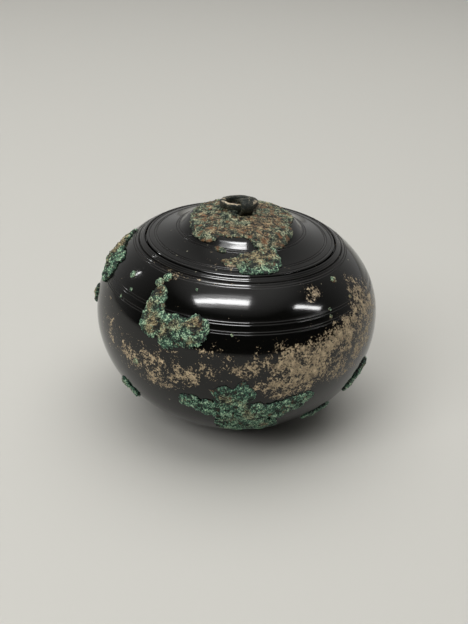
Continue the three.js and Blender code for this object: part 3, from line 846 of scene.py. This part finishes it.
arc = np.interp(height, shoulder[::-1, 1], arc_lengths(shoulder)[::-1])
dirt = np.max([np.clip(2 - 2 * np.abs(arc - at) / half, 0, 1) for at, half in GROOVE_DIRT], axis=0)
dirt = np.where(outer & (height > EQUATOR_HEIGHT), dirt, 0)
paint(bowl.data, "cuts", dirt)
print("points with dirt:", int((dirt > 0).sum()), "of", len(dirt))

# %% Paint the lid
LID_WEAR_SPOTS = [
    (-5, 38, 5, 4, 0.95), (4, 35, 5, 3, 0.95), (13, 32, 6, 2.5, 0.9), (-14, 40, 5, 3, 0.5),
    (30, 42, 4, 3, 0.4),
]
DIRT_DEPTH = 0.1

azimuth, radius, height = measure_points(lid)
worn = np.zeros(len(height))
for spot_azimuth, spot_radius, half_width, half_depth, strength in LID_WEAR_SPOTS:
    aside = np.radians(azimuth - spot_azimuth) * radius
    spot = strength * np.exp(-((aside / half_width) ** 2 + ((radius - spot_radius) / half_depth) ** 2))
    worn = np.maximum(worn, spot)
paint(lid.data, "wear", worn)
sunk = np.interp(radius, cone[:, 0], cone[:, 1]) - height
on_cone = (radius > BOSS_RADIUS) & (radius < LID_RADIUS - EDGE_BAND) & (sunk < LID_WALL / 2)
paint(lid.data, "cuts", np.where(on_cone, np.clip(sunk / DIRT_DEPTH - 1, 0, 1), 0))
print("mean wear of the lid:", round(float(worn.mean()), 3))

# %% [markdown]
# ## Loop and ring
# The loop is one strap bent round a former: two legs spread under the lid, a double shank up through it
# and an eye on top. The ring is a bent wire. Both are a bar swept along a path, so one tree makes both:
# a rectangle with rounded corners runs along a chain of points, and a little noise along the normals
# takes away the new-made look. A curve with a bevel would sweep them as well, but not with this noise.


# %% Push a surface about by noise
def roughen(tree, shape, scale, amount):
    bumps = result(tree, "ShaderNodeTexNoise", {"Scale": scale, "Detail": 2.0})
    push = calculate(tree, "MULTIPLY", calculate(tree, "SUBTRACT", bumps, 0.5), amount)
    normal = result(tree, "GeometryNodeInputNormal")
    shift = result(tree, "ShaderNodeVectorMath", {0: normal, "Scale": push}, operation="SCALE")
    return result(tree, "GeometryNodeSetPosition", {"Geometry": shape, "Offset": shift}), bumps


print("roughening ready")

# %% Build the sweep tree
sweep, start, end = new_group(
    "sweep_bar",
    "GeometryNodeTree",
    [
        ("Path", SHAPE), ("Thickness", VALUE), ("Width", VALUE), ("Corner", VALUE), ("Unevenness", VALUE),
        ("Finish", FINISH),
    ],
    [("Bar", SHAPE)],
)
path = result(sweep, "GeometryNodeMeshToCurve", {0: start["Path"]})
upright = result(sweep, "GeometryNodeSetCurveNormal", {0: path}, mode="Z_UP")
sides = {"Width": start["Thickness"], "Height": start["Width"]}
section = result(sweep, "GeometryNodeCurvePrimitiveQuadrilateral", sides)
corners = {"Curve": section, "Radius": start["Corner"], "Count": 5}
rounded = result(sweep, "GeometryNodeFilletCurve", corners, mode="POLY")
swept = {"Curve": upright, "Profile Curve": rounded, "Fill Caps": True}
bar = result(sweep, "GeometryNodeCurveToMesh", swept)
uneven, _ = roughen(sweep, bar, 420.0, start["Unevenness"])
end_tree(sweep, uneven, start["Finish"], end["Bar"], crease=50)


def sweep_piece(name, points, thickness, width, corner, unevenness, closed=False):
    sizes = {"Thickness": thickness, "Width": width, "Corner": corner, "Unevenness": unevenness}
    values = {label: size * MM for label, size in sizes.items()}
    return run_tree(name, chain_mesh(name, points, closed), sweep, {**values, "Finish": dull})


# %% Bend the strap
STRAP_WIDTH = 6
STRAP_THICKNESS = 1.7
EYE_RADIUS = 2.3
EYE_OUTER_RADIUS = EYE_RADIUS + 1.8
EYE_GAP = 0.3
EYE_HEIGHT = BOSS_TOP_HEIGHT + EYE_GAP + EYE_OUTER_RADIUS
LEG_REACH = 9
LEG_GAP = 0.35
LEG_BEND = 0.9
SHANK_GAP = 0.04
PATH_STEP = 0.3

leg = BOSS_UNDERSIDE - LEG_GAP - STRAP_THICKNESS / 2 - EYE_HEIGHT
bend = (EYE_RADIUS + EYE_OUTER_RADIUS) / 2
half = STRAP_THICKNESS / 2 + SHANK_GAP
neck = math.asin(half / bend)
shank_points = int((-bend * math.cos(neck) - leg - LEG_BEND) / PATH_STEP)
side = [(-LEG_REACH + PATH_STEP * i, leg) for i in range(26)]
side += [(-half, leg + LEG_BEND + PATH_STEP * i) for i in range(shank_points)]
eye_angles = np.linspace(-math.pi / 2 - neck, -2.5 * math.pi + neck, 40)
eye = [(bend * math.cos(a), bend * math.sin(a)) for a in eye_angles]
strap_path = np.array(side + eye + [(-x, y) for x, y in reversed(side)])
for _ in range(2):
    strap_path[1:-1] = (strap_path[:-2] + 2 * strap_path[1:-1] + strap_path[2:]) / 4
print("strap", round(float(arc_lengths(strap_path)[-1]), 1), "mm long")

# %% Place the loop
LOOP_OFFSET = 1.3
LOOP_TURN = math.radians(22)
STAND_UP = Matrix(((0, 0, 1, 0), (1, 0, 0, 0), (0, 1, 0, 0), (0, 0, 0, 1)))

loop = sweep_piece(
    "strap_loop", [(x, y, 0) for x, y in strap_path], STRAP_THICKNESS, STRAP_WIDTH, corner=0.5, unevenness=0.8
)
eye_frame = Matrix.Translation(Vector((LOOP_OFFSET, 0, EYE_HEIGHT)) * MM) @ Matrix.Rotation(LOOP_TURN, 4, "Z")
loop.data.transform(eye_frame @ STAND_UP)
tell(loop)

# %% Place the ring
RING_RADIUS = 8.05
RING_WIRE = 1.35
RING_SAG = 0.3
RING_CLEARANCE = 1.6
RING_SIDES = 72

rest = dome_height(2 * RING_RADIUS - LOOP_OFFSET) + RING_CLEARANCE + RING_WIRE
ring_lean = math.asin((EYE_HEIGHT - RING_SAG - rest) / (2 * RING_RADIUS))
turns = np.linspace(0, 2 * math.pi, RING_SIDES, endpoint=False)
circle = [(RING_RADIUS * math.cos(a), RING_RADIUS * math.sin(a), 0) for a in turns]
ring = sweep_piece(
    "loose_ring", circle, 2.1 * RING_WIRE, 2.3 * RING_WIRE,
    corner=0.7 * RING_WIRE, unevenness=0.7, closed=True,
)
swing = Matrix.Translation((0, 0, -RING_SAG * MM)) @ Matrix.Rotation(-ring_lean, 4, "X")
ring.data.transform(eye_frame @ swing @ Matrix.Translation((0, RING_RADIUS * MM, 0)))
tell(ring)

# %% Wear and painted highlight on the ring and the loop
WORN_AND_LIT_SIDE = np.array([0.3, 0.25, 0.92])

# Faces turned up, a little right and back, get buff, more at the front than at the back: handling wear, and
# also a painted highlight where the light falls on top.
for piece, strength in ((ring, 1.5), (loop, 0.9)):
    facing = np.array([v.normal for v in piece.data.vertices])
    depth = np.array([v.co.y for v in piece.data.vertices])
    forward = np.clip(1.1 - (depth - depth.min()) / np.ptp(depth), 0.3, 1)
    worn = strength * forward * np.clip(facing @ WORN_AND_LIT_SIDE, 0, 1) ** 1.1
    paint(piece.data, "wear", worn)
    print("mean wear of", piece.name, round(float(worn.mean()), 3))

# %% [markdown]
# ## Corrosion lumps
# Burial has grown lumps of copper mineral out of the metal: raised, ragged at the edge and rough all
# over. Each is laid out as round lobes on the surface, in millimetres from the lump's middle. A fine
# grid over that stretch of surface gets a height from the lobes and from noise; cells with no height are
# dropped, and the rest is closed with a wall and an underside just below the bronze. Sculpting would do
# it as well, but lobes and noise keep the lump editable and the same on each run.
# The grid's points also carry "relief", low in hollows and high on knobs, and "core", which is high where
# the crust is brown. The finish turns "core" into colour and "relief" into painted shade in the hollows
# and painted highlight on the knobs. A tree strews small crumbs on top.


# %% Set beads on points
def set_beads(tree, points, rotation, size, flatness, subdivisions):
    flat = calculate(tree, "MULTIPLY", size, flatness)
    scale = result(tree, "ShaderNodeCombineXYZ", {0: size, 1: size, 2: flat})
    bead = result(tree, "GeometryNodeMeshIcoSphere", {"Radius": 1.0, "Subdivisions": subdivisions})
    inputs = {"Points": points, "Instance": bead, "Rotation": rotation, "Scale": scale}
    instances = result(tree, "GeometryNodeInstanceOnPoints", inputs)
    return result(tree, "GeometryNodeRealizeInstances", {0: instances})


def mark(tree, shape, name, value):
    inputs = {"Geometry": shape, "Name": name, "Value": value}
    return result(tree, "GeometryNodeStoreNamedAttribute", inputs)


print("bead helpers ready")

# %% Build the crumb tree
CRUMB_SIZES = {"Density": 9e4, "Smallest": 0.15 * MM, "Largest": 0.5 * MM}
CRUMB_FLATNESS = 0.6
CRUMB_CORE = 0.7

crumbs, start, end = new_group(
    "strew_crumbs",
    "GeometryNodeTree",
    [("Crust", SHAPE), ("Density", VALUE), ("Smallest", VALUE), ("Largest", VALUE), ("Finish", FINISH)],
    [("Crusted", SHAPE)],
)
relief = result(crumbs, "GeometryNodeInputNamedAttribute", {"Name": "relief"})
on_top = calculate(crumbs, "GREATER_THAN", relief, 0.05)
where = {"Mesh": start["Crust"], "Selection": on_top, "Density": start["Density"], "Seed": 4}
scatter = add_node(crumbs, "GeometryNodeDistributePointsOnFaces", where).outputs
sizes = {2: start["Smallest"], 3: start["Largest"], "Seed": 9}
size = add_node(crumbs, "FunctionNodeRandomValue", sizes).outputs[1]
loose = set_beads(crumbs, scatter["Points"], scatter["Rotation"], size, CRUMB_FLATNESS, 2)
tone = add_node(crumbs, "FunctionNodeRandomValue", {2: 0.35, 3: 0.9, "Seed": 2}).outputs[1]
toned = mark(crumbs, mark(crumbs, loose, "relief", tone), "core", CRUMB_CORE)
joined = add_node(crumbs, "GeometryNodeJoinGeometry", {0: toned})
crumbs.links.new(start["Crust"], joined.inputs[0])
end_tree(crumbs, joined.outputs[0], start["Finish"], end["Crusted"])


# %% Noise on a surface
def rough(points, size, octaves, seed, decay=1.0):
    shift = Vector((seed * 17.3, seed * 5.1, seed * 9.7))
    values = [noise.fractal(Vector(p) / size + shift, decay, 2.0, octaves) for p in points.reshape(-1, 3)]
    return np.array(values).reshape(points.shape[:-1])


print("noise ready")


# %% The cells and faces of a shell
def kept_cells(height):
    inside = height > 0
    cells = inside[:-1, :-1] & inside[1:, :-1] & inside[:-1, 1:] & inside[1:, 1:]
    # Two cells that meet only at a corner would pinch the shell there, so one of them goes.
    around = cells[:-1, :-1] + 2 * cells[:-1, 1:] + 4 * cells[1:, :-1] + 8 * cells[1:, 1:]
    cells[1:, 1:] &= around != 1 + 8
    cells[1:, :-1] &= around != 2 + 4
    return cells


def shell_faces(cells, count):
    corner = np.arange(count).reshape(cells.shape[0] + 1, cells.shape[1] + 1)
    quads = np.stack([corner[:-1, :-1], corner[:-1, 1:], corner[1:, 1:], corner[1:, :-1]], -1)[cells]
    edges = np.concatenate([quads[:, [i, (i + 1) % 4]] for i in range(4)])
    known = {tuple(edge) for edge in edges.tolist()}
    rim = np.array([edge for edge in known if (edge[1], edge[0]) not in known])
    walls = np.stack([rim[:, 1], rim[:, 0], rim[:, 0] + count, rim[:, 1] + count], 1)
    return np.concatenate([quads, quads[:, ::-1] + count, walls])


print("shell rules ready")

# %% Close a shell and strew its crumbs
CRUST_ROOT = 0.35


def close_shell(name, surface, normals, height, relief, core, finish):
    faces = shell_faces(kept_cells(height), height.size)
    top = surface + normals * np.maximum(height, 0)[..., None]
    low = surface - normals * CRUST_ROOT
    points = np.concatenate([top.reshape(-1, 3), low.reshape(-1, 3)])
    used = np.unique(faces)
    renumber = np.zeros(len(points), int)
    renumber[used] = np.arange(len(used))
    mesh = bpy.data.meshes.new(name)
    mesh.from_pydata((points[used] * MM).tolist(), [], renumber[faces].tolist())
    # The top gets the lump's relief and core. The walls and the underside get 0, so the finish paints them in
    # dark shade and leaves them green.
    for label, values in (("relief", relief), ("core", core)):
        paint(mesh, label, np.concatenate([values.ravel(), np.zeros(values.size)])[used])
    mesh.shade_smooth()
    shell = run_tree(name, mesh, crumbs, {**CRUMB_SIZES, "Finish": finish})
    tell(shell)
    return shell


print("crumbs for each square centimetre:", CRUMB_SIZES["Density"] / 1e4)

# %% Lay out the lobes
GRID_STEP = 0.33
EDGE_MARGIN = 3.5


def lump_grid(lobes):
    low = [min(lobe[i] - lobe[i + 2] for lobe in lobes) - EDGE_MARGIN for i in (0, 1)]
    high = [max(lobe[i] + lobe[i + 2] for lobe in lobes) + EDGE_MARGIN for i in (0, 1)]
    return np.meshgrid(np.arange(low[0], high[0], GRID_STEP), np.arange(low[1], high[1], GRID_STEP))


def lobe_field(across, along, lobes):
    # 1 in the middle of a lobe and 0 on its rim; lobes that meet melt together.
    best = np.full(across.shape, -9.0)
    lift = np.zeros(across.shape)
    weight = np.full(across.shape, 1e-6)
    for x, y, half_width, half_length, height in lobes:
        inward = 1 - ((across - x) / half_width) ** 2 - ((along - y) / half_length) ** 2
        best = np.maximum(best, inward) + 0.12 * np.exp(-8 * np.abs(best - inward))
        share = np.exp(3 * np.clip(inward, -2, 1))
        lift += share * height
        weight += share
    return best, lift / weight


def spread(across, along, spots):
    reach = [((across - x) ** 2 + (along - y) ** 2) / size**2 for x, y, size in spots]
    return 0.75 * sum((np.exp(-value) for value in reach), np.zeros(across.shape))


print("grid step:", GRID_STEP, "mm")

# %% Heights from lobes
RIM_LEVEL = 0.06
LEAST_HEIGHT = 0.12


def crust_height(surface, field, lift, brown, seed):
    # Noise frays the rim, then knobs and grit raise the crust and hollows lower it. The relief follows
    # the same knobs, grit and hollows, and the finish turns it into painted highlight on the knobs and
    # painted shade in the hollows.
    ragged = field + 0.14 + 0.45 * rough(surface, 4.5, 4, seed) + 0.2 * rough(surface, 1.1, 3, seed + 1)
    knobs = rough(surface, 3.6, 5, seed + 2, 0.55)
    grit = rough(surface, 0.8, 2, seed + 3, 0.5)
    hollows = np.clip(2.2 * rough(surface, 2.6, 3, seed + 5, 0.8) - 0.3, 0, 1)
    swell = np.clip(ragged, 0, 1) ** 0.4
    height = (lift + 0.3) * swell * (0.85 + 0.3 * knobs) * (1 - 0.45 * hollows) + 0.2 * grit
    relief = np.clip(0.55 + 0.4 * knobs + 0.2 * grit - 1.5 * hollows, -0.9, 1)
    patches = np.clip(0.8 + 0.9 * rough(surface, 11, 2, seed + 4), 0.2, 1.3)
    core = np.clip(1.6 * ragged, 0, 1) * patches + brown
    return np.where(ragged > RIM_LEVEL, np.maximum(height, LEAST_HEIGHT), -1), relief, core


print("crust rules ready")

# %% A lump on the bowl
UP = np.array([0, 0, 1])
TILT_STEP = 0.3


def bowl_surface(turn, latitude):
    curve = body_curve(latitude)
    slope = body_curve(latitude + TILT_STEP) - body_curve(latitude - TILT_STEP)
    slope /= np.linalg.norm(slope, axis=-1)[..., None]
    outward = np.stack([np.sin(turn), -np.cos(turn), np.zeros_like(turn)], -1)
    surface = outward * curve[..., :1] + UP * curve[..., 1:]
    return surface, outward * slope[..., 1:] - UP * slope[..., :1]


def meridian_span(latitude):
    low, high = body_curve([latitude - 0.5, latitude + 0.5])
    return float(np.hypot(*(high - low)))


def grow_on_bowl(name, azimuth, latitude, finish, lobes, brown, seed):
    across, along = lump_grid(lobes)
    placed = latitude + along / meridian_span(latitude)
    turn = np.radians(azimuth) + across / body_curve(placed)[..., 0]
    surface, normals = bowl_surface(turn, placed)
    field, lift = lobe_field(across, along, lobes)
    growth = crust_height(surface, field, lift, spread(across, along, brown), seed)
    return close_shell(name, surface, normals, *growth, finish)


print("a degree of latitude at the equator:", round(meridian_span(0), 2), "mm")

# %% Lumps on the bowl
# Each row has azimuth, latitude, finish, lobes (x, y, half width, half length, height) and brown spots
# (x, y, size).
BOWL_LUMPS = {
    "crust_front_left": (-26, 22, pale_crust, [
        (-9.2, -1.8, 7, 7, 1.6), (1.2, -3.2, 8, 7.5, 1.8), (11.5, -1.4, 7, 7.5, 1.7),
        (-9.9, 4.5, 4.5, 5, 1.4), (-10.4, 9.9, 4.5, 4.5, 1.3),
    ], [(-12, 5, 2.6), (-7, -2, 2), (2, 1, 2.2), (12, 2, 2)]),
    "crust_front_low": (5, -20, green_crust, [
        (-25, 4.4, 5.5, 4, 1.1), (-17, 1.5, 6.5, 5.5, 1.3), (-6.8, -1, 8, 7, 1.6), (4.6, -1, 8, 7, 1.6),
        (14.9, 0, 7.5, 6.5, 1.4), (23.5, 4, 6.5, 4.5, 1.2), (29.5, 6.5, 4.5, 3.2, 0.9),
        (-1.2, 11, 5.5, 7.5, 1.4), (-10, 10.5, 5, 6, 1.2), (-6, 6.5, 5.5, 5.5, 1.3), (-3.1, -12.8, 9, 8, 1.3),
        (8.2, -12.8, 8, 7.5, 1.3),
    ], [(4, -4, 2.6), (-1.5, -10, 3.6), (-11, 11, 2.2), (10, -11, 2.6)]),
    "crust_left_shoulder": (-85, 31, pale_crust, [
        (8.5, -4, 6, 6.5, 2.2), (2.1, -0.4, 7, 6.5, 2.9), (-4.6, 3.6, 3.8, 3.8, 2.2), (-9.6, 7, 3, 3, 1.7),
        (-13.2, 9.4, 2.2, 2.2, 1.2), (8, 2.5, 4.5, 4.5, 1.3),
    ], [(-1, 4, 4), (-5, 4, 4.5), (-11, 8, 5)]),
    "crust_left_spot": (-85, 6, pale_crust, [(0, 0, 2.5, 5, 1.6)], [(0, 0, 4)]),
    "crust_left_low": (-52.5, -28, green_crust, [(-1.6, 2.1, 3.5, 4.2, 1.4), (1.6, -2.1, 3.5, 4.2, 1.4)], []),
    "crust_right_low": (65, -19, green_crust, [
        (2.3, 5, 3.5, 4.5, 1.5), (1.2, 0, 4, 5, 1.8), (-2, -5.6, 4, 5, 1.5),
    ], []),
    "crust_right_under": (46.5, -36, green_crust, [(-3.4, -1.1, 5, 3.5, 1.2), (3.4, 1.1, 5, 3.5, 1.2)], []),
}

bowl_lumps = {}
for seed, (name, layout) in enumerate(BOWL_LUMPS.items()):
    bowl_lumps[name] = grow_on_bowl(name + "_growth", *layout, 10 * seed + 3)

# %% [markdown]
# ## Warts
# Between the lumps stand single beads of mineral, one to four millimetres across. A tree sets one bead on
# each root point, turned to face outwards and flattened, and noise pushes it out of round. The same noise,
# kept as relief, paints highlight on the bumps and shade in the dips. So few could also be placed by
# hand, but a list of places is easier to change.

# %% Build the wart tree
WART_NOISE = 900.0
WART_BUMPS = 1.2 * MM

wart_tree, start, end = new_group(
    "sprout_warts",
    "GeometryNodeTree",
    [("Roots", SHAPE), ("Flatness", VALUE), ("Finish", FINISH)],
    [("Warts", SHAPE)],
)
size = result(wart_tree, "GeometryNodeInputNamedAttribute", {"Name": "size"})
outward = result(
    wart_tree, "GeometryNodeInputNamedAttribute", {"Name": "outward"}, data_type="FLOAT_VECTOR"
)
upright = result(wart_tree, "FunctionNodeAlignRotationToVector", {"Vector": outward}, axis="Z")
loose = set_beads(wart_tree, start["Roots"], upright, size, start["Flatness"], 4)
lumpy, bumps = roughen(wart_tree, loose, WART_NOISE, WART_BUMPS)
# The noise that pushed the bead out becomes its relief: painted highlight on the bumps, painted shade in the
# dips.
bump_shading = calculate(wart_tree, "ADD", bumps, 0.25)
toned = mark(wart_tree, mark(wart_tree, lumpy, "relief", bump_shading), "core", 1.0)
end_tree(wart_tree, toned, start["Finish"], end["Warts"])

# %% Warts on the bowl
WART_FLATNESS = 0.45
WARTS = np.array([
    (53.2, 40.8, 1.6), (57.4, 29.3, 0.9), (42.4, 28.2, 0.9), (41.7, 24.8, 0.8), (-56.9, 35.3, 1.7),
    (-52, 28.8, 0.9), (-55.7, 22.8, 0.6), (-36.7, 42.5, 2.1), (-39.1, 38.8, 2.2), (-39.8, -3.2, 1.6),
    (-1.3, 21.3, 0.6), (-19.5, 41, 0.6), (128, 30, 1.4), (-148, 38, 1.8), (165, -18, 1.5), (-110, -20, 1.2),
])

roots, leans = bowl_surface(np.radians(WARTS[:, 0]), WARTS[:, 1])
root_mesh = bpy.data.meshes.new("warts")
root_mesh.from_pydata((roots * MM).tolist(), [], [])
root_mesh.attributes.new("outward", "FLOAT_VECTOR", "POINT").data.foreach_set("vector", leans.ravel())
paint(root_mesh, "size", WARTS[:, 2] * MM)
warts = run_tree("crust_warts", root_mesh, wart_tree, {"Flatness": WART_FLATNESS, "Finish": pale_crust})
tell(warts)

# %% [markdown]
# ## Lumps on the lid
# One lump sits on the lid's front edge, and a brown crust covers the boss. Both are made as the bowl's
# lumps are, but on the lid's curve. The edge lump is laid out by how far in from the edge it lies, with
# thin lobes that reach up to the boss. The boss's crust is laid out from straight above, as a plateau
# with lobes down its flank, and it leaves the strap's footprint free.

# %% The lid's surface
lid_face = np.vstack([cone[::-1], boss[1:]])[::-1]


def lid_height(radius):
    return np.interp(radius, lid_face[:, 0], lid_face[:, 1])


def lid_surface(x, y):
    radius = np.hypot(x, y)
    slope = lid_height(radius + TILT_STEP) - lid_height(np.maximum(radius - TILT_STEP, 0))
    slope /= 2 * TILT_STEP
    outward = np.stack([x, y], -1) / np.maximum(radius, 1e-6)[..., None]
    normals = np.concatenate([-outward * slope[..., None], np.ones_like(x)[..., None]], -1)
    normals /= np.linalg.norm(normals, axis=-1)[..., None]
    return np.stack([x, y, lid_height(radius)], -1), normals


print("lid from", lid_height(LID_RADIUS), "up to", lid_height(0))

# %% The lump on the lid's edge
EDGE_AZIMUTH = math.radians(14)
EDGE_SEED = 91
LEAST_INSET = 0.6
FREE_EDGE = 0.8
EDGE_LOBES = [
    (-5.6, 4.6, 5, 4.4, 1.3), (0, 5.8, 5.4, 5.6, 1.6), (4.6, 7, 5.2, 5.4, 1.3), (7.6, 8.6, 3.8, 4.4, 1.1),
    (-10, 9.4, 4, 2.4, 0.3), (-14, 8.6, 3, 1.8, 0.2), (-5, 12, 4.5, 2.4, 0.4), (1, 13, 4, 2.6, 0.5),
    (6.6, 13, 3.4, 4, 0.6), (4, 16.2, 2.6, 2, 0.4),
]
EDGE_BROWN = [(-10, 9.5, 4), (-14, 8.5, 4), (-5, 11.5, 4.5), (1, 12.5, 4), (5, 14.5, 3.5)]

across, inset = lump_grid(EDGE_LOBES)
inset = np.maximum(inset, LEAST_INSET)
radius = LID_RADIUS - inset
turn = EDGE_AZIMUTH + across / radius
surface, normals = lid_surface(radius * np.sin(turn), -radius * np.cos(turn))
field, lift = lobe_field(across, inset, EDGE_LOBES)
field = np.where(inset < FREE_EDGE, -1, field)
growth = crust_height(surface, field, lift, spread(across, inset, EDGE_BROWN), EDGE_SEED)
edge_lump = close_shell("crust_lid_edge_growth", surface, normals, *growth, pale_crust)

# %% The crust of the boss
BOSS_AZIMUTH = 22
BOSS_SEED = 57
BOSS_LIFT = 0.75
PLATEAU_OVERHANG, PLATEAU_FADE = 0.4, 3
STRAP_GAP, STRAP_FADE = 0.3, 1.5
BOSS_LOBES = [
    (-31, 0.9, 9.5, 3.7, 1.2), (-25, 0, 5, 3, 1.2), (1, 2, 6, 3.6, 1.2), (9, 2.2, 6, 3.6, 1.1),
    (16, 1, 5, 3, 1), (-20.8, 6.2, 2.6, 1.5, 0.6),
]
BOSS_BROWN = [(-3, -9, 5), (15, -3, 6), (3, -18, 5), (12, -20, 5), (8, -9, 4), (-14, -18, 4), (6, 12, 6)]

span = np.arange(-32, 32, GRID_STEP)
x, y = np.meshgrid(span, span)
radius = np.hypot(x, y)
surface, normals = lid_surface(x, y)
plateau = (BOSS_SHOULDER_RADIUS + PLATEAU_OVERHANG - radius) / PLATEAU_FADE
across = np.radians(np.degrees(np.arctan2(x, -y)) - BOSS_AZIMUTH) * radius
flank, _ = lobe_field(across, radius - BOSS_SHOULDER_RADIUS, BOSS_LOBES)
field = np.minimum(np.maximum(plateau, flank), 1)
beside = np.abs((x - LOOP_OFFSET) * math.cos(LOOP_TURN) + y * math.sin(LOOP_TURN)) - STRAP_WIDTH / 2
before = np.abs(y * math.cos(LOOP_TURN) - (x - LOOP_OFFSET) * math.sin(LOOP_TURN)) - STRAP_THICKNESS
field = np.minimum(field, (np.maximum(beside, before) - STRAP_GAP) / STRAP_FADE)
growth = crust_height(surface, field, np.full(x.shape, BOSS_LIFT), spread(x, y, BOSS_BROWN), BOSS_SEED)
boss_crust = close_shell("crust_boss_growth", surface, normals, *growth, earthy_crust)

# %% [markdown]
# ## Put each piece on its body
# Every piece rides on the body of the solid that it stands for, so the lid carries its loop, its crusts
# and the ring's hinge, and the ring swings alone. Parenting by hand would do the same for one pose, but
# the names let every pose find the pieces. The warts stand for no solid, and ride with the bowl.

# %% Ride and replace
PIECES = [
    (bowl, "bowl", "bowl", "bronze"),
    (lid, "lid", "lid", "bronze"),
    (loop, "lid", "ring_loop", "worn_bronze"),
    (ring, "ring", "pull_ring", "worn_bronze"),
    (edge_lump, "lid", "crust_lid_edge", "crust"),
    (boss_crust, "lid", "crust_boss", "crust"),
    *[(lump, "bowl", name, "crust") for name, lump in bowl_lumps.items()],
]
for piece, body, node, slot in PIECES:
    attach(piece, body)
    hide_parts(node)
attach(warts, "bowl")
print("pieces:", len(PIECES) + 1)
